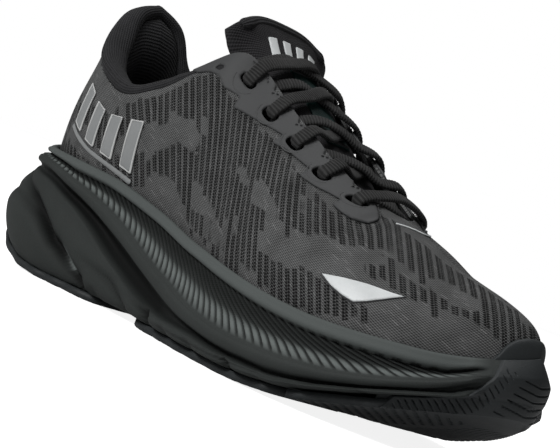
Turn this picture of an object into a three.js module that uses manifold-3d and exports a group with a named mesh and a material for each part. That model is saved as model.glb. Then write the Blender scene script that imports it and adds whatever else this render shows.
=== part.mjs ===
// Cushioned running shoe, right foot, men's size about US 9.
// Built heel at x = 8, toe at x = 298, lateral side at -Y, ground at z = 0, in millimetres.
// The whole group is then moved so that its box's bottom centre is the origin.
import * as THREE from "three";
import { mergeVertices } from "three/addons/utils/BufferGeometryUtils.js";
import Module from "manifold-3d";

const wasm = await Module();
wasm.setup();

// ---- driving dimensions -------------------------------------------------------------------------
const LATERAL = -1;
const MEDIAL = 1;
const GAP = 0.35; // clearance kept between pieces that touch
const POD_THICKNESS = 3; // rubber under the foam
const KNIT = { outside: 0, inside: -1.2 };
const COUNTER = { outside: -1.6, inside: -2.8 };
const PUFF = { outside: -1.6, inside: -2.3 };
const LINER = { outside: -3.3, inside: -4.1 };
const COLLAR_FOAM = { outside: -4.7, inside: -9.6 };
const COLLAR_LINING = { outside: -10.1, inside: -11.1 };
const LIP_CLEARANCE = 0.9; // between the foam's lip and the knit
const OVERLAY = { outside: 1.3, inside: 0.45 };
const PRINT = { outside: 1.0, inside: 0.5 };
const LACE_WIDTH = 7;
const LACE_THICKNESS = 2;
const EYELET_SLOT = { length: 9.8, width: 7.4 };
const EYELET_FIRST = 0.417; // top laced row, as a share of the perimeter from heel to toe
const EYELET_LAST = 0.637; // bottom laced row
const EYELET_ROWS = 5;
const EYELET_V = 0.86;
const HEEL_LOCK_S = 0.375;
const BINDING_END = 0.35; // where the collar's binding stops and the eyestay begins

// ---- smooth curves through a few points ---------------------------------------------------------
// Cubic through (t, value) pairs, flat at local highs and lows so that it never overshoots.
function profile(pairs) {
  const t = pairs.map((p) => p[0]);
  const y = pairs.map((p) => p[1]);
  const slope = t.slice(1).map((next, i) => (y[i + 1] - y[i]) / (next - t[i]));
  const tangent = t.map((_, i) => {
    if (i === 0) return slope[0];
    if (i === t.length - 1) return slope[i - 1];
    const product = slope[i - 1] * slope[i];
    return product <= 0 ? 0 : (2 * product) / (slope[i - 1] + slope[i]);
  });
  return (at) => {
    const x = Math.min(Math.max(at, t[0]), t[t.length - 1]);
    let i = 0;
    while (i < t.length - 2 && x > t[i + 1]) i++;
    const h = t[i + 1] - t[i];
    const u = (x - t[i]) / h;
    const a = 2 * u ** 3 - 3 * u ** 2 + 1;
    const b = u ** 3 - 2 * u ** 2 + u;
    return a * y[i] + b * h * tangent[i] + (1 - a) * y[i + 1] + (u ** 3 - u ** 2) * h * tangent[i + 1];
  };
}

// Half outline of the foam seen from above, heel centre to toe tip.
const OUTLINE = {
  [LATERAL]: [[8, 0], [11, -16], [21, -32], [39, -43], [62, -46], [90, -44], [120, -44], [150, -49],
    [180, -55], [208, -57], [235, -54], [258, -45], [275, -33.5], [288, -19], [295.5, -6], [298, 7]],
  [MEDIAL]: [[8, 0], [11, 16], [21, 31], [39, 41], [62, 43], [90, 40], [120, 37], [148, 40],
    [175, 48], [200, 53], [225, 53], [250, 47], [270, 38.5], [285, 28.5], [295, 17.5], [298, 7]],
};
// One closed curve runs along the lateral side to the toe and back along the medial side.
const ringPoints = [...OUTLINE[LATERAL], ...OUTLINE[MEDIAL].slice(1, -1).reverse()];
const ringVectors = ringPoints.map(([x, y]) => new THREE.Vector3(x, y, 0));
const ring = new THREE.CatmullRomCurve3(ringVectors, true, "centripetal");
ring.arcLengthDivisions = ringPoints.length * 20;
const ringLengths = ring.getLengths();
const toeShare = ringLengths[(OUTLINE[LATERAL].length - 1) * 20] / ringLengths[ringLengths.length - 1];

// Point of the outline and its outward direction at a share s of one side, moved in by inset.
function outlinePoint(side, s, inset) {
  const at = Math.min(Math.max(s, 0), 1);
  const u = side === LATERAL ? at * toeShare : (1 - at * (1 - toeShare)) % 1;
  const tangent = ring.getTangentAt(u);
  const out = new THREE.Vector3(tangent.y, -tangent.x, 0);
  return { point: ring.getPointAt(u).addScaledVector(out, -inset), out };
}

// ---- the sole's heights along the shoe ----------------------------------------------------------
const ground = profile([
  [8, 20], [20, 12], [36, 4.5], [56, 0], [72, 0], [200, 0], [227, 1.8], [255, 9.2], [280, 19], [298, 28],
]);
const footbed = profile([[8, 35], [80, 34], [140, 31.5], [210, 27], [250, 28], [275, 31.5], [298, 38]]);
const rimHeight = profile([
  [0, 57], [0.12, 53.5], [0.3, 51], [0.4, 45.5], [0.5, 39.4], [0.72, 33], [0.86, 36.5], [1, 47.5],
]);
const lastInset = profile([[0, 16], [0.15, 16], [0.3, 14.5], [0.5, 12.5], [0.8, 10], [1, 9.5]]);

// ---- the upper's surface ------------------------------------------------------------------------
// s runs from the heel (0) to the toe (1), v from the sole (0) to the top edge (1).
// Each column is one side's section: top edge x, half width, z, then how far the section's two
// inner control points stand out and up from the sole, and out and down from the top edge.
const SECTIONS = [
  // s,    x,   half, z,     out1, up1, out2, down2
  [0.0, 26.5, 0, 120.5, 4, 41, -11, 18],
  [0.04, 28.5, 10, 117.8, 4, 39, -8, 17],
  [0.08, 33, 19, 109, 5, 35, -4, 16],
  [0.12, 41.5, 26.5, 99.5, 6, 31, 0, 15],
  [0.17, 55, 31.5, 92.5, 7, 25, 3, 13],
  [0.23, 74, 33.5, 87.5, 7, 22, 5, 12],
  [0.29, 93, 32, 94.5, 7, 23, 7, 13],
  [0.34, 110, 30, 106.4, 7, 25, 9, 14],
  [0.385, 126, 25.4, 116.2, 6, 27, 13, 14],
  [0.42, 137, 20.2, 111, 6, 27, 17, 11],
  [0.47, 153, 18.2, 102, 5.5, 26, 18, 10],
  [0.53, 173, 17.2, 93, 5, 25, 19, 9],
  [0.585, 191, 15.5, 84.5, 4.5, 23, 20, 7],
  [0.63, 205, 11.6, 79.3, 4, 22, 21, 4],
  [0.66, 213, 5.7, 77, 3.5, 21.5, 23, 2],
  [0.68, 216, 0, 76.3, 3, 21, 25, 1.2],
  [0.75, 230, 0, 72.6, 2.5, 19.5, 24, 2],
  [0.83, 245, 0, 67, 2, 17.5, 21, 3.4],
  [0.92, 260.5, 0, 63.6, 2.2, 16, 18.5, 3.8],
  [1.0, 270, 0, 61.6, 2.6, 15.5, 17, 4],
];
const centreLine = profile([[40, 0], [110, 1.2], [200, 1], [230, 1], [264, 4], [298, 7]]);
const section = [1, 2, 3, 4, 5, 6, 7].map((k) => profile(SECTIONS.map((row) => [row[0], row[k]])));

function upperPoint(side, s, v) {
  const [x, half, z, out1, up1, out2, down2] = section.map((f) => f(s));
  const { point: base, out } = outlinePoint(side, s, lastInset(s));
  base.z = footbed(base.x) + 3;
  const top = new THREE.Vector3(x, centreLine(x) + side * half, z);
  const lean = (top.x - base.x) * 0.3 * Math.min(1, s / 0.1) * (s > 0.9 ? (1 - s) / 0.1 : 1);
  const low = base.clone().addScaledVector(out, out1);
  low.x += lean;
  low.z += up1;
  const high = top.clone().addScaledVector(out, out2);
  high.x -= lean;
  high.z -= down2;
  const w = 1 - v;
  return base.multiplyScalar(w ** 3)
    .addScaledVector(low, 3 * w * w * v)
    .addScaledVector(high, 3 * w * v * v)
    .addScaledVector(top, v ** 3);
}

function sideNormal(side, s, v) {
  const e = 0.004;
  const s0 = Math.max(s - e, 0);
  const s1 = Math.min(s + e, 1);
  const v0 = Math.max(v - e, 0);
  const v1 = Math.min(v + e, 1);
  const along = upperPoint(side, s1, v).sub(upperPoint(side, s0, v));
  const up = upperPoint(side, s, v1).sub(upperPoint(side, s, v0));
  return along.cross(up).multiplyScalar(-side).normalize();
}

// Outward direction of the upper; on the heel and toe lines the two sides share one.
function upperNormal(side, s, v) {
  const normal = sideNormal(side, s, v);
  if (s <= 0 || s >= 1) normal.add(sideNormal(-side, s, v));
  return normal.normalize();
}

const offSurface = (side, s, v, d) => upperPoint(side, s, v).addScaledVector(upperNormal(side, s, v), d);

// ---- solids from sheets and rings ---------------------------------------------------------------
function fromTriangles(positions, triangles) {
  const geometry = new THREE.BufferGeometry();
  const numbers = positions.flatMap((p) => p.toArray());
  geometry.setAttribute("position", new THREE.Float32BufferAttribute(numbers, 3));
  geometry.setIndex(triangles.flat());
  return geometry;
}

// A sheet is a list of rows of points; equal points are joined, so a sheet may close on itself.
function sheetFromRows(rows, flip = false) {
  const positions = rows.flat();
  const columns = rows[0].length;
  const triangles = [];
  for (let i = 0; i < rows.length - 1; i++) {
    for (let j = 0; j < columns - 1; j++) {
      const a = i * columns + j;
      const b = a + columns;
      const pair = flip ? [[a, b, b + 1], [a, b + 1, a + 1]] : [[a, b + 1, b], [a, a + 1, b + 1]];
      triangles.push(...pair);
    }
  }
  return { positions, triangles };
}

function joinSheets(...sheets) {
  const positions = [];
  const triangles = [];
  for (const sheet of sheets) {
    const start = positions.length;
    positions.push(...sheet.positions);
    triangles.push(...sheet.triangles.map((t) => t.map((k) => k + start)));
  }
  return { positions, triangles };
}

// Joins equal points and drops triangles that collapse.
function weld(sheet) {
  const merged = mergeVertices(fromTriangles(sheet.positions, sheet.triangles), 0.01);
  const position = merged.getAttribute("position");
  const positions = [];
  for (let i = 0; i < position.count; i++) {
    positions.push(new THREE.Vector3().fromBufferAttribute(position, i));
  }
  const index = merged.index.array;
  const triangles = [];
  for (let i = 0; i < index.length; i += 3) {
    const [a, b, c] = index.slice(i, i + 3);
    if (a !== b && b !== c && a !== c) triangles.push([a, b, c]);
  }
  return { positions, triangles };
}

// Closes a welded sheet into a solid between two offsets along its normals.
function thicken(sheet, { outside, inside }) {
  const { positions, triangles } = weld(sheet);
  const normals = positions.map(() => new THREE.Vector3());
  for (const [a, b, c] of triangles) {
    const face = new THREE.Vector3().subVectors(positions[b], positions[a])
      .cross(new THREE.Vector3().subVectors(positions[c], positions[a]));
    for (const k of [a, b, c]) normals[k].add(face);
  }
  normals.forEach((n) => n.normalize());
  const count = positions.length;
  const outer = positions.map((p, k) => p.clone().addScaledVector(normals[k], outside));
  const inner = positions.map((p, k) => p.clone().addScaledVector(normals[k], inside));
  const solid = [...triangles, ...triangles.map(([a, b, c]) => [a + count, c + count, b + count])];
  const edges = new Set(triangles.flatMap(([a, b, c]) => [`${a},${b}`, `${b},${c}`, `${c},${a}`]));
  for (const edge of edges) {
    const [a, b] = edge.split(",").map(Number);
    if (!edges.has(`${b},${a}`)) solid.push([b, a, a + count], [b, a + count, b + count]);
  }
  return fromTriangles([...outer, ...inner], solid);
}

// Closes a stack of equal rings into a tube with flat ends.
function tubeFromRings(rings) {
  const sides = rings[0].length;
  const positions = rings.flat();
  const triangles = [];
  for (let i = 0; i < rings.length - 1; i++) {
    for (let j = 0; j < sides; j++) {
      const a = i * sides + j;
      const b = i * sides + ((j + 1) % sides);
      triangles.push([a, b, b + sides], [a, b + sides, a + sides]);
    }
  }
  const last = (rings.length - 1) * sides;
  for (let j = 1; j < sides - 1; j++) {
    triangles.push([0, j + 1, j], [last, last + j, last + j + 1]);
  }
  return fromTriangles(positions, triangles);
}

// ---- booleans -----------------------------------------------------------------------------------
function toManifold(geometry) {
  const bare = geometry.clone();
  bare.deleteAttribute("normal");
  bare.deleteAttribute("uv");
  const merged = mergeVertices(bare, 1e-4);
  return new wasm.Manifold(new wasm.Mesh({
    numProp: 3,
    vertProperties: Float32Array.from(merged.getAttribute("position").array),
    triVerts: Uint32Array.from(merged.index.array),
  }));
}

function cut(geometry, tools) {
  let solid = toManifold(geometry);
  for (const tool of tools) solid = solid.subtract(toManifold(tool));
  const mesh = solid.getMesh();
  const result = new THREE.BufferGeometry();
  result.setAttribute("position", new THREE.BufferAttribute(mesh.vertProperties, 3));
  result.setIndex(new THREE.BufferAttribute(mesh.triVerts, 1));
  return result;
}

// ---- the group ----------------------------------------------------------------------------------
const shoe = new THREE.Group();

// Turns the faces of a closed geometry outward where they point inward.
function faceOut(geometry) {
  const index = geometry.index.array;
  const position = geometry.getAttribute("position");
  const corner = [new THREE.Vector3(), new THREE.Vector3(), new THREE.Vector3()];
  let volume = 0;
  for (let i = 0; i < index.length; i += 3) {
    corner.forEach((c, k) => c.fromBufferAttribute(position, index[i + k]));
    volume += corner[0].dot(corner[1].clone().cross(corner[2]));
  }
  if (volume > 0) return geometry;
  for (let i = 0; i < index.length; i += 3) [index[i], index[i + 1]] = [index[i + 1], index[i]];
  return geometry;
}

function addPiece(name, geometry, color, roughness) {
  faceOut(geometry);
  const material = new THREE.MeshStandardMaterial({ color, roughness, metalness: 0 });
  const mesh = new THREE.Mesh(geometry, material);
  mesh.name = name;
  shoe.add(mesh);
}

const range = (from, to, steps) =>
  Array.from({ length: steps + 1 }, (_, i) => from + ((to - from) * i) / steps);

// ---- midsole ------------------------------------------------------------------------------------
// Where the upper passes the height z, as a share of the way up its section.
function shareAtHeight(side, s, z) {
  let low = 0;
  let high = 0.5;
  for (let i = 0; i < 20; i++) {
    const v = (low + high) / 2;
    if (upperPoint(side, s, v).z < z) low = v;
    else high = v;
  }
  return low;
}

// One ring of levels from the flat underside, round the side wall and over the lip to the footbed.
function midsoleLevels(side, s) {
  const rim = rimHeight(s);
  const under = ground(outlinePoint(side, s, 0).point.x) + POD_THICKNESS + GAP;
  const lipShare = shareAtHeight(side, s, rim - 1);
  const lipInner = offSurface(side, s, lipShare, LIP_CLEARANCE);
  const { point: edge, out } = outlinePoint(side, s, 0);
  const lipInset = edge.clone().setZ(0).sub(lipInner.clone().setZ(0)).dot(out);
  const outside = [
    [8, under],
    [3.5, under + 3],
    [1, under + (rim - under) * 0.3],
    [2.5, under + (rim - under) * 0.5],
    [0, under + (rim - under) * 0.62],
    [(lipInset - 3) * 0.8, rim - 7],
    [(lipInset - 3) * 0.75, rim - 3.5],
    [lipInset - 2, rim],
  ].map(([inset, z]) => outlinePoint(side, s, inset).point.setZ(z));
  const foot = outlinePoint(side, s, lastInset(s) - 1.1).point;
  foot.z = footbed(foot.x);
  return [...outside, lipInner, offSurface(side, s, lipShare / 2, LIP_CLEARANCE), foot];
}

// Joins the two sides' rows of points straight across the shoe, for the underside and the footbed.
function acrossSheet(left, right, steps, facingUp) {
  const rows = left.map((a, i) => range(0, 1, steps).map((t) => a.clone().lerp(right[i], t)));
  return sheetFromRows(rows, facingUp);
}

function midsole() {
  const shares = range(0, 1, 40);
  const rows = {};
  for (const side of [LATERAL, MEDIAL]) rows[side] = shares.map((s) => midsoleLevels(side, s));
  const last = rows[LATERAL][0].length - 1;
  const column = (side, k) => rows[side].map((row) => row[k]);
  return weldedSolid(joinSheets(
    sheetFromRows(rows[LATERAL], true),
    sheetFromRows(rows[MEDIAL], false),
    acrossSheet(column(LATERAL, 0), column(MEDIAL, 0), 4, false),
    acrossSheet(column(LATERAL, last), column(MEDIAL, last), 4, true),
  ));
}

function weldedSolid(sheet) {
  const { positions, triangles } = weld(sheet);
  return fromTriangles(positions, triangles);
}

addPiece("midsole", midsole(), 0x2b2d2c, 0.8);

// ---- outsole pods -------------------------------------------------------------------------------
// Half widths of the foam's underside at x, on each side of y = 0.
const halfWidth = {
  [LATERAL]: profile(OUTLINE[LATERAL].filter(([x, y]) => y <= 0).map(([x, y]) => [x, -y])),
  [MEDIAL]: profile(OUTLINE[MEDIAL].filter(([x]) => x < 296).map(([x, y]) => [x, y])),
};

// A rubber pad whose underside follows the ground line, from x0 to x1 and between two shares of
// the width, -1 at the lateral edge and 1 at the medial edge.
function pod(x0, x1, w0, w1) {
  const edgeInset = 7;
  const rows = range(x0, x1, Math.round((x1 - x0) / 6)).map((x) => {
    const end = Math.min((x - x0) / 6, (x1 - x) / 6, 1);
    const trim = 5 * (1 - Math.sqrt(1 - (1 - end) ** 2));
    const wide = (w) => (w < 0 ? halfWidth[LATERAL](x) : halfWidth[MEDIAL](x)) - edgeInset;
    const y0 = w0 * wide(w0) + trim;
    const y1 = w1 * wide(w1) - trim;
    return range(y0, y1, 4).map((y) => new THREE.Vector3(x, y, ground(x)));
  });
  return thicken(sheetFromRows(rows, true), { outside: POD_THICKNESS, inside: 0 });
}

const RUBBER = 0x1b1b1b;
addPiece("outsole_heel_lateral", pod(17, 104, -1, -0.12), RUBBER, 0.85);
addPiece("outsole_heel_medial", pod(22, 98, 0.16, 1), RUBBER, 0.85);
addPiece("outsole_forefoot_lateral", pod(132, 232, -1, -0.2), RUBBER, 0.85);
addPiece("outsole_forefoot_medial", pod(138, 236, 0.12, 1), RUBBER, 0.85);

// The toe piece lies under the toe and wraps up over the front of the foam.
function toePod() {
  const inset = 7;
  const rows = range(240, 286, 9).map((x) => {
    const y0 = -halfWidth[LATERAL](x) + inset;
    const y1 = halfWidth[MEDIAL](x) - inset;
    return range(y0, y1, 8).map((y) => new THREE.Vector3(x, y, ground(x)));
  });
  return thicken(sheetFromRows(rows, true), { outside: POD_THICKNESS, inside: 0 });
}
addPiece("outsole_toe", toePod(), RUBBER, 0.85);

// ---- boards and insole --------------------------------------------------------------------------
// A flat layer inside the upper, following the footbed, from one height above it to another.
function bedLayer(lift, thickness, inset, s0 = 0, s1 = 1) {
  const edge = (side) => range(s0, s1, 24).map((s) => {
    const { point } = outlinePoint(side, s, lastInset(s) + inset);
    point.z = footbed(point.x) + lift;
    return point;
  });
  return thicken(acrossSheet(edge(LATERAL), edge(MEDIAL), 4, true), { outside: thickness, inside: 0 });
}

addPiece("strobel_board", bedLayer(0.6, 1.2, 0.4), 0xb9b6ac, 0.95);
addPiece("sockliner", bedLayer(3.1, 3.6, 7), 0x3a3d40, 0.9);
addPiece("sockliner_cloth", bedLayer(7.1, 0.8, 7), 0x202224, 0.95);

// ---- upper shells -------------------------------------------------------------------------------
// Rows of the upper's surface on one side; lowV and highV may change along s.
function sidePatch(side, s0, s1, sSteps, lowV, highV, vSteps) {
  const rows = range(s0, s1, sSteps).map((s) => {
    const v0 = lowV(s);
    const v1 = highV(s);
    return range(v0, v1, vSteps).map((v) => upperPoint(side, s, v));
  });
  return sheetFromRows(rows, side === LATERAL);
}

function bothSides(s0, s1, sSteps, lowV, highV, vSteps) {
  const patches = [LATERAL, MEDIAL].map((side) => sidePatch(side, s0, s1, sSteps, lowV, highV, vSteps));
  return joinSheets(...patches);
}

const constant = (value) => () => value;
// The shells stop just short of the collar, where the binding covers their edges.
const shellTop = profile([[0, 0.94], [0.1, 0.92], [0.25, 0.91], [0.35, 0.91], [0.372, 1], [1, 1]]);

const eyeletShares = range(EYELET_FIRST, EYELET_LAST, EYELET_ROWS - 1);
const holeShares = [HEEL_LOCK_S, ...eyeletShares];

// A box on the surface that cuts one eyelet slot through the knit and the overlay.
function slotTool(side, s) {
  const centre = upperPoint(side, s, EYELET_V);
  const normal = upperNormal(side, s, EYELET_V);
  const along = upperPoint(side, s + 0.01, EYELET_V).sub(upperPoint(side, s - 0.01, EYELET_V)).normalize();
  const across = normal.clone().cross(along).normalize();
  const tool = new THREE.BoxGeometry(EYELET_SLOT.length, EYELET_SLOT.width, 12);
  tool.applyMatrix4(new THREE.Matrix4().makeBasis(along, across, along.clone().cross(across)));
  return tool.translate(centre.x, centre.y, centre.z);
}
const slotTools = (side) => holeShares.map((s) => slotTool(side, s));

const knitSheet = bothSides(0, 1, 40, constant(0), shellTop, 9);
const allSlots = [...slotTools(LATERAL), ...slotTools(MEDIAL)];
addPiece("knit_upper", cut(thicken(knitSheet, KNIT), allSlots), 0x3b3c3d, 0.9);

// The waterproof bootie ends below the eyelets, where the tongue's gussets begin.
const linerTop = profile([
  [0, 0.9], [0.12, 0.87], [0.33, 0.84], [0.375, 0.64], [0.6, 0.64], [0.65, 0.8], [0.68, 1], [1, 1],
]);
const linerSheet = bothSides(0, 1, 40, constant(0.02), linerTop, 6);
addPiece("waterproof_bootie", thicken(linerSheet, LINER), 0x55585a, 0.8);
const counterSheet = bothSides(0, 0.19, 7, constant(0.03), constant(0.6), 5);
addPiece("heel_counter", thicken(counterSheet, COUNTER), 0x8d8a80, 0.6);
const puffTop = profile([[0.86, 0.3], [0.93, 0.45], [1, 0.5]]);
addPiece("toe_puff", thicken(bothSides(0.86, 1, 8, constant(0.04), puffTop, 3), PUFF), 0x8d8a80, 0.6);

// ---- collar -------------------------------------------------------------------------------------
const foamLow = profile([[0, 0.6], [0.3, 0.55], [0.36, 0.65]]);
const foamTop = profile([[0, 0.88], [0.12, 0.84], [0.22, 0.78], [0.345, 0.77]]);
const foamSheet = bothSides(0, BINDING_END, 14, foamLow, foamTop, 3);
addPiece("collar_foam", thicken(foamSheet, COLLAR_FOAM), 0x6a6a66, 0.95);
const liningTop = profile([[0, 0.9], [0.12, 0.86], [0.22, 0.805], [0.345, 0.785]]);
const liningLow = profile([[0, 0.42], [0.3, 0.42], [0.36, 0.7]]);
const liningSheet = bothSides(0, BINDING_END, 14, liningLow, liningTop, 4);
addPiece("collar_lining", thicken(liningSheet, COLLAR_LINING), 0x151515, 0.95);

// Rolled binding round the ankle opening, an oval tube over the shells' edges.
function toplineBinding() {
  const path = [
    ...range(BINDING_END, 0, 14).map((s) => [LATERAL, s]),
    ...range(0, BINDING_END, 14).slice(1).map((s) => [MEDIAL, s]),
  ];
  const rings = path.map(([side, s]) => {
    const top = upperPoint(side, s, 1);
    const normal = upperNormal(side, s, 1);
    const step = upperPoint(side, s + 0.01, 1).sub(upperPoint(side, Math.max(s - 0.01, 0), 1));
    const up = normal.clone().cross(step).multiplyScalar(side).normalize();
    const reach = 5.6 * Math.min(1, 0.45 + (BINDING_END - s) * 12);
    return range(0, 2 * Math.PI, 10).slice(1).map((angle) => top.clone()
      .addScaledVector(normal, -5.2 + reach * Math.cos(angle))
      .addScaledVector(up, 1 + 2.1 * Math.sin(angle)));
  });
  return tubeFromRings(rings);
}
addPiece("collar_binding", toplineBinding(), 0x1c1c1c, 0.95);

const tabPatch = bothSides(0, 0.028, 2, constant(0.34), constant(0.94), 8);
addPiece("heel_tab", thicken(tabPatch, OVERLAY), 0x232323, 0.7);

// ---- eyestays -----------------------------------------------------------------------------------
const stayLow = profile([
  [0.3, 0.92], [0.34, 0.87], [0.398, 0.73], [0.45, 0.73], [0.505, 0.77], [0.6, 0.745],
  [0.65, 0.655], [0.705, 0.64],
]);
const stayTop = profile([
  [0.3, 0.95], [0.352, 0.95], [0.372, 0.995], [0.645, 0.995], [0.665, 0.87], [0.705, 0.67],
]);
for (const [name, side] of [["eyestay_lateral", LATERAL], ["eyestay_medial", MEDIAL]]) {
  const patch = sidePatch(side, 0.302, 0.705, 28, stayLow, stayTop, 4);
  addPiece(name, cut(thicken(patch, OVERLAY), slotTools(side)), 0x4b4c4d, 0.75);
}

// ---- toe film, leaf and heel marks -------------------------------------------------------------
const filmTop = profile([
  [0.945, 0.21], [0.95, 0.26], [0.96, 0.34], [0.97, 0.385], [0.985, 0.43], [1, 0.45],
]);
const filmLow = profile([[0.945, 0.19], [0.96, 0.25], [1, 0.34]]);
addPiece("toe_bumper_film", thicken(bothSides(0.945, 1, 8, filmLow, filmTop, 2), OVERLAY), 0x2e2e2f, 0.6);

// A leaf-shaped printed patch, pointed at both ends, low on the lateral forefoot.
const leafLow = profile([[0.7075, 0.276], [0.735, 0.235], [0.765, 0.2075], [0.79, 0.295], [0.81, 0.382]]);
const leafHigh = profile([[0.7075, 0.284], [0.766, 0.3475], [0.81, 0.388]]);
const leaf = sidePatch(LATERAL, 0.7075, 0.81, 12, leafLow, leafHigh, 2);
addPiece("forefoot_reflector", thicken(leaf, PRINT), 0xd9dcdc, 0.4);

// Reflective heel marks: four slanted bars in a row that falls toward the toe, joined by a foot line.
const markLow = profile([[0.165, 0.47], [0.35, 0.2]]);
const markHigh = profile([[0.15, 0.8], [0.35, 0.52]]);
function slantedBars(side) {
  const bars = 4;
  const first = 0.178;
  const pitch = 0.041;
  const lean = -0.016;
  const rows = [];
  for (let k = 0; k < bars; k++) {
    const s = first + k * pitch;
    for (const [ds, reach] of [[0, 1], [0.022, 1], [0.0221, 0.14], [pitch - 0.0001, 0.14]]) {
      const low = markLow(s + ds);
      const high = markHigh(s + ds + lean);
      const ends = range(0, reach, 3);
      rows.push(ends.map((t) => upperPoint(side, s + ds + lean * t, low + (high - low) * t)));
    }
  }
  rows.pop();
  rows.pop();
  return sheetFromRows(rows, side === LATERAL);
}
addPiece("heel_mark_lateral", thicken(slantedBars(LATERAL), PRINT), 0xa5a9a9, 0.4);
addPiece("heel_mark_medial", thicken(slantedBars(MEDIAL), PRINT), 0xa5a9a9, 0.4);

// ---- tongue -------------------------------------------------------------------------------------
// Centre line of the tongue's outer face from its base to its top: x, z, half width, edge drop.
const TONGUE = [
  [221, 65.5, 15, 6], [212, 69, 17, 8], [200, 74.5, 19, 10], [185, 82.8, 21, 11], [170, 91.5, 23, 12],
  [155, 101, 23, 15], [141, 110.4, 23, 16], [130, 118, 22.5, 16], [121, 125.6, 25.9, 14.4],
  [115.5, 130.5, 30.5, 7.5],
  [113.5, 133, 21, 3.5],
];
const TONGUE_Y = 1.2; // the tongue's centre line lies a little to the medial side
const tongueColumn = [0, 1, 2, 3].map((k) =>
  profile(TONGUE.map((row, i) => [i / (TONGUE.length - 1), row[k]])));

function tonguePoint(t, w) {
  const [x, z, half, drop] = tongueColumn.map((f) => f(t));
  return new THREE.Vector3(x, TONGUE_Y + w * half, z - drop * Math.abs(w) ** 2.4);
}

function tongueSheet(t0, t1, reach, steps = 12) {
  const rows = range(t0, t1, steps).map((t) => range(-reach, reach, 6).map((w) => tonguePoint(t, w)));
  return sheetFromRows(rows, false);
}

addPiece("tongue_shell", thicken(tongueSheet(0, 1, 1), { outside: 0, inside: -1 }), 0x202122, 0.95);
const padSheet = tongueSheet(0.03, 0.985, 0.94);
addPiece("tongue_foam", thicken(padSheet, { outside: -1.6, inside: -5.3 }), 0x6a6a66, 0.95);
const innerSheet = tongueSheet(0.01, 0.995, 0.98);
addPiece("tongue_lining", thicken(innerSheet, { outside: -5.9, inside: -6.7 }), 0x1a1a1a, 0.95);
const labelSheet = tongueSheetPart(0.42, 0.68, -0.3, 0.3);
addPiece("tongue_label", thicken(labelSheet, { outside: 0.7, inside: 0.3 }), 0x10201d, 0.5);
addPiece("tongue_bars", thicken(tongueBars(), { outside: 0.9, inside: 0.4 }), 0xe6e8e8, 0.35);

function tongueSheetPart(t0, t1, w0, w1, tSteps = 6, wSteps = 6) {
  const rows = range(t0, t1, tSteps).map((t) => range(w0, w1, wSteps).map((w) => tonguePoint(t, w)));
  return sheetFromRows(rows, false);
}

// Reflective bars across the tongue's top, joined by a thin line below them.
function tongueBars() {
  const columns = [];
  for (let k = 0; k < 4; k++) {
    const w = -0.55 + k * 0.3;
    for (const [dw, tall] of [[0, 1], [0.16, 1], [0.161, 0], [0.299, 0]]) {
      const rise = tall ? 0.09 : 0.012;
      const slant = tall ? 0.08 : 0;
      columns.push(range(0, 1, 4).map((t) => tonguePoint(0.77 + t * rise, w + dw + t * slant)));
    }
  }
  columns.pop();
  columns.pop();
  return sheetFromRows(columns, true);
}

// ---- lace ---------------------------------------------------------------------------------------
// One flat lace. It is a list of points, each with the direction that its flat face looks in.
// From the bar over the bottom eyelets it goes down both holes, crosses under the edges, comes up
// through each next hole, and its two ends are tucked in between the tongue and the quarters.
const tongueByX = [1, 2, 3].map((k) => profile(TONGUE.map((row) => [row[0], row[k]]).reverse()));
const STRAND_FACE = new THREE.Vector3(0.5, 0, 0.87); // across the tongue, the lace faces up and forward
const LACE_OVER = 3.2; // lace centre above the knit's outer face
const LACE_UNDER = -3.3;
const CROSSING_Y = 8; // a crossing is held by three points, this far apart across the shoe
const CROSSING_LIFT = { low: [3.2, 2.5, 2.5], high: [4.6, 4.9, 3.4] };
const UNDER_EDGE_SHIFT = 0.017; // how far toward the next row a strand dips under the edge
// Whether the strand that left the lateral side lies on top, at each crossing from the bottom.
const LATERAL_ON_TOP = [false, false, false, true];

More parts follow.
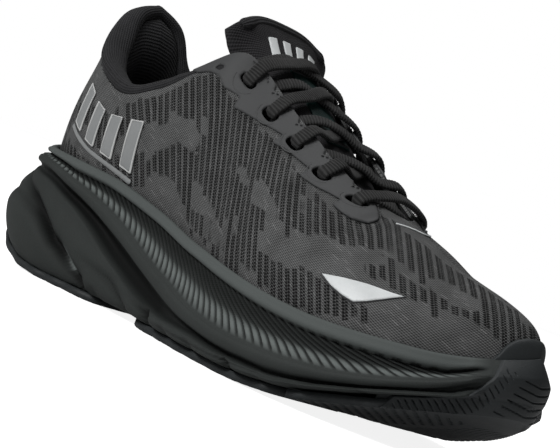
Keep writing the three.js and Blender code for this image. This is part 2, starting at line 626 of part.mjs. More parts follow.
function laceHalf(first) {
  const route = [];
  const rows = [...eyeletShares].reverse();
  let side = first;
  let sign = 1;
  const surfacePoint = (s, v, d) => {
    route.push({ at: offSurface(side, s, v, d), face: upperNormal(side, s, v).multiplyScalar(sign) });
  };
  const throughHole = (s, direction) => {
    const toEdge = upperPoint(side, s, EYELET_V + 0.02).sub(upperPoint(side, s, EYELET_V)).normalize();
    for (const d of direction > 0 ? [-1, 1.2] : [1.2, -1]) {
      const face = toEdge.clone().multiplyScalar(sign * direction);
      route.push({ at: offSurface(side, s, EYELET_V, d), face });
    }
    sign = -sign;
  };
  const crossing = (fromShare, toShare, lifts) => {
    lifts.forEach((lift, k) => {
      const y = side * CROSSING_Y * (1 - k);
      const x = THREE.MathUtils.lerp(section[0](fromShare), section[0](toShare), 0.3 + 0.2 * k);
      const [z, half, drop] = tongueByX.map((f) => f(x));
      const onTongue = new THREE.Vector3(x, TONGUE_Y + y, z - drop * Math.abs(y / half) ** 2.4);
      route.push({
        at: onTongue.addScaledVector(STRAND_FACE, lift),
        face: STRAND_FACE.clone().multiplyScalar(sign),
      });
    });
  };
  surfacePoint(rows[0], 0.995, LACE_OVER + 0.4);
  surfacePoint(rows[0], 0.9, LACE_OVER);
  throughHole(rows[0], -1);
  surfacePoint(rows[0] - 0.002, 0.9, LACE_UNDER);
  surfacePoint(rows[0] - 0.01, 0.985, LACE_UNDER);
  for (let row = 1; row < rows.length; row++) {
    const onTop = (side === LATERAL) === LATERAL_ON_TOP[row - 1];
    crossing(rows[row - 1], rows[row], onTop ? CROSSING_LIFT.high : CROSSING_LIFT.low);
    side = -side;
    surfacePoint(rows[row] + UNDER_EDGE_SHIFT * 0.7, 0.985, LACE_UNDER);
    surfacePoint(rows[row] + 0.003, 0.9, LACE_UNDER);
    throughHole(rows[row], 1);
    surfacePoint(rows[row], 0.9, LACE_OVER);
    surfacePoint(rows[row] - 0.005, 0.99, LACE_OVER + 0.3);
  }
  const top = rows[rows.length - 1];
  crossing(top, top - 0.03, side === LATERAL ? CROSSING_LIFT.high : CROSSING_LIFT.low);
  side = -side;
  const tuck = [[-0.016, 0.985, -3.7], [-0.015, 0.92, -3.5], [-0.014, 0.82, -3.1], [-0.006, 0.69, -5.3],
    [0.012, 0.57, -5.7], [0.045, 0.47, -5.9], [0.08, 0.43, -6], [0.115, 0.42, -6], [0.15, 0.42, -6]];
  for (const [ds, v, d] of tuck) surfacePoint(top + ds, v, d);
  return route;
}

// The bar's middle joins the two halves into one lace.
function laceRoute() {
  const halves = { [LATERAL]: laceHalf(LATERAL), [MEDIAL]: laceHalf(MEDIAL) };
  const bar = halves[LATERAL][0].at.clone().lerp(halves[MEDIAL][0].at, 0.5);
  bar.z += 2;
  const middlePoint = { at: bar, face: new THREE.Vector3(0.4, 0, 0.92) };
  return [...halves[LATERAL].reverse(), middlePoint, ...halves[MEDIAL]];
}

// Sweeps an eight-sided flat section along the route, from one share of its length to another.
function ribbon(route, width, thickness, steps, from = 0, to = 1) {
  const path = new THREE.CatmullRomCurve3(route.map((p) => p.at), false, "centripetal");
  path.arcLengthDivisions = 2000;
  const faces = new THREE.CatmullRomCurve3(route.map((p) => p.face), false, "catmullrom");
  const chamfer = 0.3 * thickness;
  const half = { w: width / 2, t: thickness / 2 };
  const corners = [
    [half.w, -half.t + chamfer], [half.w, half.t - chamfer],
    [half.w - chamfer, half.t], [-half.w + chamfer, half.t],
    [-half.w, half.t - chamfer], [-half.w, -half.t + chamfer],
    [-half.w + chamfer, -half.t], [half.w - chamfer, -half.t],
  ];
  const rings = range(from, to, steps).map((u) => {
    const t = path.getUtoTmapping(u);
    const tangent = path.getTangent(t);
    const face = faces.getPoint(t);
    face.addScaledVector(tangent, -face.dot(tangent)).normalize();
    const across = tangent.clone().cross(face);
    return corners.map(([w, d]) => path.getPoint(t).addScaledVector(across, w).addScaledVector(face, d));
  });
  return tubeFromRings(rings);
}

const laceLine = laceRoute();
const AGLET_SHARE = 0.024; // of the lace's length, at each end
const AGLET_GAP = 0.0006;
const laceStart = AGLET_SHARE + AGLET_GAP;
const laceRibbon = ribbon(laceLine, LACE_WIDTH, LACE_THICKNESS, 125, laceStart, 1 - laceStart);
addPiece("lace", laceRibbon, 0x141414, 0.95);
addPiece("aglet_lateral", ribbon(laceLine, 4, 3, 4, 0, AGLET_SHARE), 0x202020, 0.35);
addPiece("aglet_medial", ribbon(laceLine, 4, 3, 4, 1 - AGLET_SHARE, 1), 0x202020, 0.35);

// ---- place the group on its box's bottom centre -------------------------------------------------
const box = new THREE.Box3().setFromObject(shoe);
const middle = box.getCenter(new THREE.Vector3());
shoe.position.set(-middle.x, -middle.y, -box.min.z);

export default shoe;
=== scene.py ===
"""Looks of the cushioned running shoe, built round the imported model.

Shapes are worked out in millimetres in the shoe's own build frame (heel at x = 8, toe at x = 298,
lateral side at -y, ground at z = 0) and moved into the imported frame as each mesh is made.
"""

import bmesh
import bpy
import numpy as np
from mathutils import Matrix, Vector
from mathutils.geometry import delaunay_2d_cdt


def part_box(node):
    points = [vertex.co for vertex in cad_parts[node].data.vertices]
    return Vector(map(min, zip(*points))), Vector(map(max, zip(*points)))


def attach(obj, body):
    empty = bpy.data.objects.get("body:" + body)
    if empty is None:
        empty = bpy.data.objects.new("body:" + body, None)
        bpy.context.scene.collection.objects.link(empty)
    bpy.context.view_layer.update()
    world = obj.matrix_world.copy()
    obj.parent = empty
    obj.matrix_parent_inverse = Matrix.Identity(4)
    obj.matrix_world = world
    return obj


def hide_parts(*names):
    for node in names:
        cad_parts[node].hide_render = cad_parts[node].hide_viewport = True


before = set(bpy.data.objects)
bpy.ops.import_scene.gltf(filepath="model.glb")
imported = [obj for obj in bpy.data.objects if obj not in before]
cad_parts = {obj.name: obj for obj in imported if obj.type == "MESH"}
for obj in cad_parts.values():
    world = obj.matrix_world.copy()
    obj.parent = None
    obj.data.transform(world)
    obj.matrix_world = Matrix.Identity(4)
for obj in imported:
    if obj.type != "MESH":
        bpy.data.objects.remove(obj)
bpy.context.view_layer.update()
MM = 0.001
SIDE_LENGTH = 330.0  # mm for one unit of s, the share of a side from heel to toe

# ---- smooth curves through a few points ----------------------------------------------------------
def profile(pairs):
    """Cubic through (t, value) pairs, flat at local highs and lows, so it never overshoots."""
    t = np.array([p[0] for p in pairs], float)
    y = np.array([p[1] for p in pairs], float)
    slope = np.diff(y) / np.diff(t)
    tangent = np.zeros(len(t))
    tangent[0], tangent[-1] = slope[0], slope[-1]
    for i in range(1, len(t) - 1):
        product = slope[i - 1] * slope[i]
        tangent[i] = 0 if product <= 0 else 2 * product / (slope[i - 1] + slope[i])

    def at(x):
        x = np.clip(np.asarray(x, float), t[0], t[-1])
        i = np.clip(np.searchsorted(t, x, side="left") - 1, 0, len(t) - 2)
        h = t[i + 1] - t[i]
        u = (x - t[i]) / h
        a = 2 * u**3 - 3 * u**2 + 1
        b = u**3 - 2 * u**2 + u
        return a * y[i] + b * h * tangent[i] + (1 - a) * y[i + 1] + (u**3 - u**2) * h * tangent[i + 1]

    return at


def unit(vectors):
    return vectors / np.linalg.norm(vectors, axis=-1)[..., None]


def path_lengths(points):
    """How far along a path each of its points is."""
    return np.concatenate([[0], np.cumsum(np.linalg.norm(np.diff(points, axis=0), axis=1))])


def catmull(points, closed, count, power=0.25):
    """count points of a Catmull-Rom curve, and the lengths along it; power 0.25 is centripetal."""
    p = np.asarray(points, float)
    n = len(p)
    if closed:
        ext = np.concatenate([p[-1:], p, p[:2]])
        spans = n
    else:
        ext = np.concatenate([2 * p[:1] - p[1:2], p, 2 * p[-1:] - p[-2:-1]])
        spans = n - 1
    t = np.linspace(0, spans, count)
    i = np.minimum(t.astype(int), spans - 1)
    w = (t - i)[:, None]
    p0, p1, p2, p3 = (ext[i + k] for k in range(4))
    if power:
        d0, d1, d2 = (np.maximum(((b - a) ** 2).sum(1), 1e-12)[:, None] ** power
                      for a, b in ((p0, p1), (p1, p2), (p2, p3)))
        m1 = ((p1 - p0) / d0 - (p2 - p0) / (d0 + d1) + (p2 - p1) / d1) * d1
        m2 = ((p2 - p1) / d1 - (p3 - p1) / (d1 + d2) + (p3 - p2) / d2) * d1
    else:
        m1, m2 = (p2 - p0) / 2, (p3 - p1) / 2
    c2 = -3 * p1 + 3 * p2 - 2 * m1 - m2
    c3 = 2 * p1 - 2 * p2 + m1 + m2
    curve = p1 + m1 * w + c2 * w**2 + c3 * w**3
    return curve, path_lengths(curve)


def stack_interp(x, xp, fp):
    """Linear interpolation of points or directions."""
    return np.stack([np.interp(x, xp, fp[:, k]) for k in range(fp.shape[1])], -1)


# ---- the shoe's shape, in millimetres: heel at x = 8, toe at x = 298, lateral side at -y ---------
LATERAL, MEDIAL = -1, 1
OUTLINE = {
    LATERAL: [(8, 0), (11, -16), (21, -32), (39, -43), (62, -46), (90, -44), (120, -44), (150, -49),
              (180, -55), (208, -57), (235, -54), (258, -45), (275, -33.5), (288, -19), (295.5, -6),
              (298, 7)],
    MEDIAL: [(8, 0), (11, 16), (21, 31), (39, 41), (62, 43), (90, 40), (120, 37), (148, 40), (175, 48),
             (200, 53), (225, 53), (250, 47), (270, 38.5), (285, 28.5), (295, 17.5), (298, 7)],
}
RING = OUTLINE[LATERAL] + OUTLINE[MEDIAL][1:-1][::-1]
RING_STEPS = 300
ring_points, ring_lengths = catmull(RING, True, len(RING) * RING_STEPS + 1)
ring_share = ring_lengths / ring_lengths[-1]
TOE_SHARE = ring_share[(len(OUTLINE[LATERAL]) - 1) * RING_STEPS]
wrapped_ring = np.concatenate([ring_points[-2:-1], ring_points, ring_points[1:2]])
ring_tangents = unit(np.gradient(wrapped_ring, axis=0)[1:-1])


def outline(side, s, inset):
    """Points of the sole's outline, moved in by inset, and their outward directions."""
    s = np.clip(np.asarray(s, float), 0, 1)
    u = s * TOE_SHARE if side == LATERAL else np.mod(1 - s * (1 - TOE_SHARE), 1.0)
    tangent = unit(stack_interp(u, ring_share, ring_tangents))
    out = np.stack([tangent[..., 1], -tangent[..., 0], np.zeros(s.shape)], -1)
    flat = stack_interp(u, ring_share, ring_points)
    point = np.concatenate([flat, np.zeros(s.shape + (1,))], -1)
    return point - out * np.asarray(inset)[..., None], out


# Heights along x of the sole's underside and of the footbed; the rest of the profiles run along s.
ground = profile([(8, 24), (20, 14.5), (36, 6.2), (56, 0.8), (72, 0), (200, 0), (227, 1.8), (255, 9.2),
                  (280, 19), (298, 28)])
footbed = profile([(8, 35), (80, 34), (140, 31.5), (210, 27), (250, 28), (275, 31.5), (298, 38)])
rim_height = profile([(0, 57), (0.12, 53.5), (0.3, 51), (0.4, 45.5), (0.5, 39.4), (0.72, 33), (0.86, 36.5),
                      (1, 47.5)])
last_inset = profile([(0, 16), (0.15, 16), (0.3, 14.5), (0.5, 12.5), (0.8, 10), (1, 9.5)])
# The upper's cross-sections: the top edge's place, and how far out and up or down each end pulls.
SECTIONS = [
    # s, x, half, z, out1, up1, out2, down2
    (0.0, 26.5, 0, 120.5, 4, 41, -11, 18),
    (0.04, 28.5, 10, 117.8, 4, 39, -8, 17),
    (0.08, 33, 19, 109, 5, 35, -4, 16),
    (0.12, 41.5, 26.5, 99.5, 6, 31, 0, 15),
    (0.17, 55, 31.5, 92.5, 7, 25, 3, 13),
    (0.23, 74, 33.5, 87.5, 7, 22, 5, 12),
    (0.29, 93, 32, 94.5, 7, 23, 7, 13),
    (0.34, 110, 30, 106.4, 7, 25, 9, 14),
    (0.385, 126, 25.4, 116.2, 6, 27, 13, 14),
    (0.42, 137, 20.2, 111, 6, 27, 17, 11),
    (0.47, 153, 18.2, 102, 5.5, 26, 18, 10),
    (0.53, 173, 17.2, 93, 5, 25, 19, 9),
    (0.585, 191, 15.5, 84.5, 4.5, 23, 20, 7),
    (0.63, 205, 11.6, 79.3, 4, 22, 21, 4),
    (0.66, 213, 5.7, 77, 3.5, 21.5, 23, 2),
    (0.68, 216, 0, 76.3, 3, 21, 25, 1.2),
    (0.75, 230, 0, 72.6, 2.5, 19.5, 24, 2),
    (0.83, 245, 0, 67, 2, 17.5, 21, 3.4),
    (0.92, 260.5, 0, 63.6, 2.2, 16, 18.5, 3.8),
    (1.0, 270, 0, 61.6, 2.6, 15.5, 17, 4),
]
centre_line = profile([(40, 0), (110, 1.2), (200, 1), (230, 1), (264, 4), (298, 7)])
section = [profile([(row[0], row[k]) for row in SECTIONS]) for k in range(1, 8)]


def upper(side, s, v):
    """Points of the upper's outer face: s runs from heel 0 to toe 1, v from sole 0 to top edge 1."""
    s, v = np.broadcast_arrays(np.clip(np.asarray(s, float), 0, 1), np.asarray(v, float))
    x, half, z, out1, up1, out2, down2 = (f(s) for f in section)
    base, out = outline(side, s, last_inset(s))
    base[..., 2] = footbed(base[..., 0]) + 3
    top = np.stack([x, centre_line(x) + side * half, z], -1)
    ends = np.minimum(1, s / 0.1) * np.where(s > 0.9, (1 - s) / 0.1, 1)
    lean = (top[..., 0] - base[..., 0]) * 0.3 * ends
    low = base + out * out1[..., None]
    low[..., 0] += lean
    low[..., 2] += up1
    high = top + out * out2[..., None]
    high[..., 0] -= lean
    high[..., 2] -= down2
    w = (1 - v)[..., None]
    v = v[..., None]
    return base * w**3 + low * 3 * w * w * v + high * 3 * w * v * v + top * v**3


def both_sides(start, end, count):
    """(side, s) pairs that run along the lateral side and come back along the medial one."""
    there, back = np.linspace(start, end, count), np.linspace(end, start, count)[1:]
    return [(LATERAL, s) for s in there] + [(MEDIAL, s) for s in back]


def one_side_normal(side, s, v):
    e = 0.004
    s, v = np.broadcast_arrays(np.clip(np.asarray(s, float), 0, 1), np.asarray(v, float))
    along = upper(side, np.minimum(s + e, 1), v) - upper(side, np.maximum(s - e, 0), v)
    up = upper(side, s, np.minimum(v + e, 1)) - upper(side, s, np.maximum(v - e, 0))
    return unit(np.cross(along, up) * -side)


def upper_normal(side, s, v):
    """Outward directions of the upper; on the heel and toe lines the two sides share one."""
    normal = one_side_normal(side, s, v)
    other = one_side_normal(-side, s, v)
    s = np.broadcast_to(np.asarray(s, float), normal.shape[:-1])
    shared = ((s <= 0) | (s >= 1))[..., None]
    return unit(np.where(shared, normal + other + [0, 0, 1e-6], normal))


def off_upper(side, s, v, d):
    """Points of the upper, d mm out from its face."""
    return upper(side, s, v) + upper_normal(side, s, v) * np.asarray(d, float)[..., None]


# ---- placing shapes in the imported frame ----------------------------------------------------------
low_corner, high_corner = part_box("midsole")
SHIFT = np.array([
    low_corner.x / MM - ring_points[:, 0].min(),
    (low_corner.y + high_corner.y) / 2 / MM - (ring_points[:, 1].min() + ring_points[:, 1].max()) / 2,
    0,
])


class Build:
    """Collects points, faces and texture coordinates (mm), and makes one mesh object of them."""

    def __init__(self):
        self.points, self.surf, self.faces, self.count = [], [], [], 0

    def add(self, points, faces, surf=None):
        points = np.asarray(points, float).reshape(-1, 3)
        self.points.append(points)
        self.surf.append(points if surf is None else np.asarray(surf, float).reshape(-1, 3))
        self.faces.extend(tuple(int(k) + self.count for k in face) for face in faces)
        self.count += len(points)

    def grid(self, points, surf=None, around=False, flip=False):
        """A sheet from an n x m grid; around joins the last column to the first."""
        n, m = points.shape[:2]
        index = np.arange(n * m).reshape(n, m)
        if around:
            index = np.concatenate([index, index[:, :1]], 1)
        a, b, c, d = index[:-1, :-1], index[1:, :-1], index[1:, 1:], index[:-1, 1:]
        faces = np.stack([a, d, c, b] if flip else [a, b, c, d], -1).reshape(-1, 4)
        self.add(points, faces, surf)

    def shell(self, outer, inner, surf=None):
        """A closed solid between two grids of the same size."""
        n, m = outer.shape[:2]
        both = np.concatenate([outer.reshape(-1, 3), inner.reshape(-1, 3)])
        index = np.arange(n * m).reshape(n, m)
        a, b, c, d = index[:-1, :-1], index[1:, :-1], index[1:, 1:], index[:-1, 1:]
        top = np.stack([a, b, c, d], -1).reshape(-1, 4)
        under = np.stack([a, d, c, b], -1).reshape(-1, 4) + n * m
        loop = np.concatenate([index[0, :-1], index[:-1, -1], index[-1, :0:-1], index[:0:-1, 0]])
        after = np.roll(loop, -1)
        walls = np.stack([loop, after, after + n * m, loop + n * m], -1)
        surf = np.concatenate([surf.reshape(-1, 3)] * 2) if surf is not None else None
        self.add(both, np.concatenate([top, under, walls]), surf)

    def tube(self, rings, surf=None):
        """A closed solid from a stack of rings."""
        n, m = rings.shape[:2]
        self.grid(rings, surf, around=True)
        start = self.count - n * m
        self.faces.append(tuple(range(start, start + m)))
        self.faces.append(tuple(range(start + (n - 1) * m, start + n * m))[::-1])

    def make(self, name, material, body="shoe", slot=None, replaces=(), merge=0.0, **attributes):
        """The mesh object, on its body; attributes are numbers stored at each point."""
        mesh = bpy.data.meshes.new(name)
        points = (np.concatenate(self.points) + SHIFT) * MM
        mesh.from_pydata(points.tolist(), [], self.faces)
        store = mesh.attributes.new("surf", "FLOAT_VECTOR", "POINT")
        store.data.foreach_set("vector", np.concatenate(self.surf).astype(np.float32).ravel())
        for key, values in attributes.items():
            extra = mesh.attributes.new(key, "FLOAT", "POINT")
            extra.data.foreach_set("value", np.asarray(values, np.float32).ravel())
        work = bmesh.new()
        work.from_mesh(mesh)
        if merge:
            bmesh.ops.remove_doubles(work, verts=work.verts, dist=merge * MM)
        bmesh.ops.recalc_face_normals(work, faces=work.faces)
        work.to_mesh(mesh)
        work.free()
        mesh.shade_smooth()
        piece = bpy.data.objects.new(name, mesh)
        bpy.context.scene.collection.objects.link(piece)
        mesh.materials.append(material)
        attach(piece, body)
        if replaces:
            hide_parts(*replaces)
        return piece


UPPER_HEIGHT = profile([(0, 92), (0.12, 72), (0.23, 60), (0.38, 84), (0.6, 62), (0.7, 60), (0.85, 48),
                        (1, 42)])


def surf_coordinates(s, v, side):
    """Texture coordinates on the upper: millimetres along from the heel, and up from the sole."""
    s, v = np.broadcast_arrays(np.asarray(s, float), np.asarray(v, float))
    return np.stack([side * s * SIDE_LENGTH, v * UPPER_HEIGHT(s), np.zeros(s.shape)], -1)


def sweep(centre, across, normal, x, y):
    """Rings round a path: each point of the section is x along across and y along normal."""
    return centre[:, None] + across[:, None] * x[..., None] + normal[:, None] * y[..., None]


def circle(count):
    return np.linspace(0, 2 * np.pi, count, endpoint=False)


def rounded_corners(angle, x_power, y_power):
    """Cosine and sine of the angle, squared off toward a box by powers below one."""
    c, s = np.cos(angle), np.sin(angle)
    return np.sign(c) * np.abs(c) ** x_power, np.sign(s) * np.abs(s) ** y_power


def smooth_closed(points, times=2):
    """Cuts the corners of a closed outline, as often as asked."""
    p = np.asarray(points, float)
    for _ in range(times):
        after = np.roll(p, -1, 0)
        p = np.stack([p * 0.75 + after * 0.25, p * 0.25 + after * 0.75], 1).reshape(-1, 2)
    return p


def resample(points, step, closed=True):
    """Points at even spacing along an outline."""
    p = np.asarray(points, float)
    if closed:
        p = np.concatenate([p, p[:1]])
    length = path_lengths(p)
    count = max(3, int(round(length[-1] / step)))
    at = np.linspace(0, length[-1], count + 1)
    return stack_interp(at[:-1] if closed else at, length, p)


def inside_outline(points, outline_points):
    """Whether each point lies in a closed outline."""
    x, y = points[:, 0][:, None], points[:, 1][:, None]
    x0, y0 = outline_points.T
    x1, y1 = np.roll(outline_points, -1, 0).T
    crosses = (y0 > y) != (y1 > y)
    at = x0 + (y - y0) * (x1 - x0) / np.where(y1 == y0, 1e-12, y1 - y0)
    return (crosses & (x < at)).sum(1) % 2 == 1


def distance_to_outline(points, outline_points):
    a = outline_points
    b = np.roll(outline_points, -1, 0)
    span = b - a
    t = np.clip(((points[:, None] - a) * span).sum(-1) / np.maximum((span**2).sum(-1), 1e-12), 0, 1)
    return np.linalg.norm(points[:, None] - (a + span * t[..., None]), axis=-1).min(1)


def distance_to_rings(points, rings):
    return np.min([distance_to_outline(points, ring) for ring in rings], 0)


def in_rings(points, rings):
    """Whether each point lies in the first ring and outside the others."""
    keep = inside_outline(points, rings[0])
    for hole in rings[1:]:
        keep &= ~inside_outline(points, hole)
    return keep


def bevel_points(rings, bevel):
    """Points just inside the outline, so that its edge can be rounded off."""
    inner = []
    for ring in rings:
        tangent = np.roll(ring, -1, 0) - np.roll(ring, 1, 0)
        tangent /= np.maximum(np.linalg.norm(tangent, axis=1), 1e-9)[:, None]
        turn = np.stack([-tangent[:, 1], tangent[:, 0]], -1)
        for sign in (1, -1):
            moved = ring + turn * bevel * sign
            inner.append(moved[in_rings(moved, rings) & (distance_to_rings(moved, rings) > bevel * 0.7)])
    return inner


def triangulate(rings, step, bevel):
    """A flat triangle mesh of the area inside the first ring and outside the others."""
    boundary = np.concatenate(rings)
    edges, start = [], 0
    for ring in rings:
        edges += [(start + k, start + (k + 1) % len(ring)) for k in range(len(ring))]
        start += len(ring)
    low, high = boundary.min(0), boundary.max(0)
    gx, gy = np.meshgrid(np.arange(low[0], high[0], step), np.arange(low[1], high[1], step))
    fill = np.stack([gx.ravel(), gy.ravel()], -1)
    fill = fill[in_rings(fill, rings)]
    fill = fill[distance_to_rings(fill, rings) > max(bevel * 1.5, step * 0.6)]
    points = np.concatenate([boundary, *bevel_points(rings, bevel), fill])
    made = delaunay_2d_cdt([Vector(p) for p in points], edges, [], 0, 1e-5)
    flat = np.array([tuple(p) for p in made[0]])
    faces = np.array(made[2])
    return flat, faces[in_rings(flat[faces].mean(1), rings)]


def patch(build, outlines, place, top, under, step=1.3, rounding=0.3, bevel=0.5):
    """A thin solid with crisp edges on a curved face.

    outlines are closed lists of (a, h) points in mm, the first one the outside and the rest holes.
    place(a, h, d) gives the points at d mm above the face.
    """
    rings = [resample(o, step) for o in outlines]
    flat, faces = triangulate(rings, step, bevel)
    raised = distance_to_rings(flat, rings) > bevel * 0.5
    upper_points = place(flat[:, 0], flat[:, 1], np.where(raised, top, top - rounding))
    lower_points = place(flat[:, 0], flat[:, 1], np.full(len(flat), under))
    directed = dict.fromkeys(edge for a, b, c in faces for edge in ((a, b), (b, c), (c, a)))
    rim = [(a, b) for a, b in directed if (b, a) not in directed]
    n = len(flat)
    solid_faces = [tuple(f) for f in faces] + [tuple(f[::-1] + n) for f in faces]
    solid_faces += [(b, a, a + n, b + n) for a, b in rim]
    surf = np.concatenate([flat, np.zeros((n, 1))], -1)
    build.add(np.concatenate([upper_points, lower_points]), solid_faces, np.concatenate([surf, surf]))


# Plane coordinates for patches on the upper: 330 mm per unit of s and 80 mm per unit of v.
PLANE = np.array([SIDE_LENGTH, 80.0])


def on_upper(side):
    """The place function of patches on one side of the upper."""
    return lambda a, h, d: off_upper(side, a / PLANE[0], h / PLANE[1], d)


def local_scale(side, s, v):
    """How far one millimetre along and up the face is, in s and in v."""
    e = 0.003
    along = np.linalg.norm(upper(side, s + e, v) - upper(side, s - e, v)) / (2 * e)
    up = np.linalg.norm(upper(side, s, min(v + e, 1)) - upper(side, s, v - e)) / (min(v + e, 1) - v + e)
    return np.array([1 / along, 1 / up])


def oval(side, s, v, length, width, power=3.0, count=28, turn=0.0):
    """A rounded slot's outline in plane coordinates, from its size in mm on the face."""
    x, y = rounded_corners(circle(count), 2 / power, 2 / power)
    x, y = x * length / 2, y * width / 2
    x, y = x * np.cos(turn) - y * np.sin(turn), x * np.sin(turn) + y * np.cos(turn)
    scale = local_scale(side, s, v) * PLANE
    return np.stack([s * PLANE[0] + x * scale[0], v * PLANE[1] + y * scale[1]], -1)


# ---- materials -----------------------------------------------------------------------------------
class Field:
    """A number that varies over the surface, with arithmetic that adds Math nodes."""

    def __init__(self, tree, socket):
        self.tree, self.socket = tree, socket

    def math(self, operation, *others, clamp=False):
        node = self.tree.nodes.new("ShaderNodeMath")
        node.operation, node.use_clamp = operation, clamp
        for k, value in enumerate((self, *others)):
            if isinstance(value, Field):
                self.tree.links.new(value.socket, node.inputs[k])
            else:
                node.inputs[k].default_value = value
        return Field(self.tree, node.outputs[0])

    def __add__(self, other):
        return self.math("ADD", other)

    def __sub__(self, other):
        return self.math("SUBTRACT", other)

    def __mul__(self, other):
        return self.math("MULTIPLY", other)

    def __truediv__(self, other):
        return self.math("DIVIDE", other)

    def floor(self):
        return self.math("FLOOR")

    def fract(self):
        return self.math("FRACT")

    def wave(self, period):
        """A sine wave between 0 and 1."""
        return (self * (2 * np.pi / period)).math("SINE") * 0.5 + 0.5

    def over(self, limit, soft):
        """0 below the limit and 1 above it, with an edge soft wide on each side."""
        return ((self - (limit - soft)) / (2 * soft)).math("ADD", 0, clamp=True)


class Finish:
    """A Principled material with a colour, roughness and bump made of Fields."""

    def __init__(self, name, roughness=0.8, sheen=0.0, specular=0.4):
        self.material = bpy.data.materials.new(name)
        self.material.use_nodes = True
        self.tree = self.material.node_tree
        self.shader = self.tree.nodes["Principled BSDF"]
        self.shader.inputs["Roughness"].default_value = roughness
        self.shader.inputs["Specular IOR Level"].default_value = specular
        if sheen:
            self.shader.inputs["Sheen Weight"].default_value = sheen
            self.shader.inputs["Sheen Roughness"].default_value = 0.45

    def read(self, name):
        """The node that reads a value stored on the mesh."""
        node = self.tree.nodes.new("ShaderNodeAttribute")
        node.attribute_name = name
        return node

    def axes(self):
        """The three coordinates of the stored texture position, in mm."""
        split = self.tree.nodes.new("ShaderNodeSeparateXYZ")
        self.tree.links.new(self.read("surf").outputs["Vector"], split.inputs[0])
        return [Field(self.tree, split.outputs[k]) for k in range(3)]

    def place(self):
        """Where the point is in the piece, in metres."""
        return self.tree.nodes.new("ShaderNodeTexCoord").outputs["Object"]

    def number(self, name):
        return Field(self.tree, self.read(name).outputs["Fac"])

    def noise(self, scale, detail=2.0, where=None, roughness=0.5):
        """Noise with scale features per metre, or per mm for stored coordinates."""
        node = self.tree.nodes.new("ShaderNodeTexNoise")
        node.inputs["Scale"].default_value = scale
        node.inputs["Detail"].default_value = detail
        node.inputs["Roughness"].default_value = roughness
        self.tree.links.new(where or self.place(), node.inputs["Vector"])
        return Field(self.tree, node.outputs[0])

    def vector(self, x, y, z=0.0):
        node = self.tree.nodes.new("ShaderNodeCombineXYZ")
        for k, value in enumerate((x, y, z)):
            if isinstance(value, Field):
                self.tree.links.new(value.socket, node.inputs[k])
            else:
                node.inputs[k].default_value = value
        return node.outputs[0]

    def random(self, x, y=0.0):
        node = self.tree.nodes.new("ShaderNodeTexWhiteNoise")
        node.noise_dimensions = "2D"
        self.tree.links.new(self.vector(x, y), node.inputs["Vector"])
        return Field(self.tree, node.outputs["Value"])

    def mix(self, share, a, b):
        node = self.tree.nodes.new("ShaderNodeMix")
        node.data_type = "RGBA"
        self.tree.links.new(share.socket, node.inputs[0])
        for slot, value in ((6, a), (7, b)):
            if isinstance(value, (tuple, list)):
                node.inputs[slot].default_value = (*value, 1)
            else:
                self.tree.links.new(value, node.inputs[slot])
        return node.outputs[2]

    def colour(self, socket):
        self.tree.links.new(socket, self.shader.inputs["Base Color"])

    def rough(self, field):
        self.tree.links.new(field.socket, self.shader.inputs["Roughness"])

    def bump(self, field, height):
        """Relief, height mm deep."""
        node = self.tree.nodes.new("ShaderNodeBump")
        node.inputs["Distance"].default_value = height * MM
        self.tree.links.new(field.socket, node.inputs["Height"])
        self.tree.links.new(node.outputs[0], self.shader.inputs["Normal"])


def grey(value, tint=(0, 0, 0)):
    return tuple(value + t for t in tint)


def knit_material():
    """Dark grey jacquard: plain twill with light flecks, and patches of black stitch columns."""
    f = Finish("jacquard_knit", roughness=0.85, sheen=0.02, specular=0.1)
    c, h, _ = f.axes()
    pitch = 3.9
    place = (c / pitch).fract()
    index = (c / pitch).floor()
    half = place.over(0.34, 0.001)
    chain = (h + half * 0.55 + index.math("MODULO", 2.0) * 0.2).wave(1.1)
    strand = (((place * 2.94).fract() - 0.5).math("ABSOLUTE") * -1 + 0.5).over(0.12, 0.1)
    band = (place * -1 + 0.68).over(0.0, 0.02)
    jitter = f.random(index, (h / 7.0).floor()) - 0.5
    figure = (f.number("figure") + jitter * 0.55).over(0.0, 0.06)
    stitch = chain.over(0.3, 0.2)
    dark = band * figure * (stitch * strand * 0.7 + 0.3)
    twill = (c * 0.62 + h).wave(1.1)
    cross = (h * 0.9 - c * 0.45).wave(0.85)
    flecks = f.random((c * 0.7 + h).math("MULTIPLY", 0.9).floor(), (h / 1.5).floor()).over(0.95, 0.03)
    flecks = flecks * twill * (dark * -1 + 1)
    mottle = f.noise(90, 3)
    grain = (twill * 0.6 + cross * 0.25 + mottle * 0.5 - 0.25).math("ADD", 0.0, clamp=True)
    plain = f.mix(grain, grey(0.015), grey(0.14, (0, 0.002, 0.002)))
    light = f.mix(flecks * 0.5, plain, grey(0.2))
    f.colour(f.mix(dark, light, grey(0.0035)))
    f.bump(twill * 0.35 + cross * 0.2 + band * figure * (stitch * 0.5 - 0.9) * 0.8, 0.4)
    return f.material


def woven_by_place(name, dark, light, per_metre):
    """Cloth whose threads follow the piece's own axes, for nodes without stored coordinates."""
    f = Finish(name, roughness=0.85, sheen=0.1, specular=0.25)
    split = f.tree.nodes.new("ShaderNodeSeparateXYZ")
    f.tree.links.new(f.place(), split.inputs[0])
    x, y, z = (Field(f.tree, split.outputs[k]) * per_metre for k in range(3))
    threads = (x + z).wave(1.0) * 0.5 + (y + z * 0.6).wave(1.0) * 0.5
    mottle = f.noise(120, 3)
    f.colour(f.mix(threads * 0.6 + mottle * 0.5 - 0.1, dark, light))
    f.bump(threads, 0.2)
    return f.material


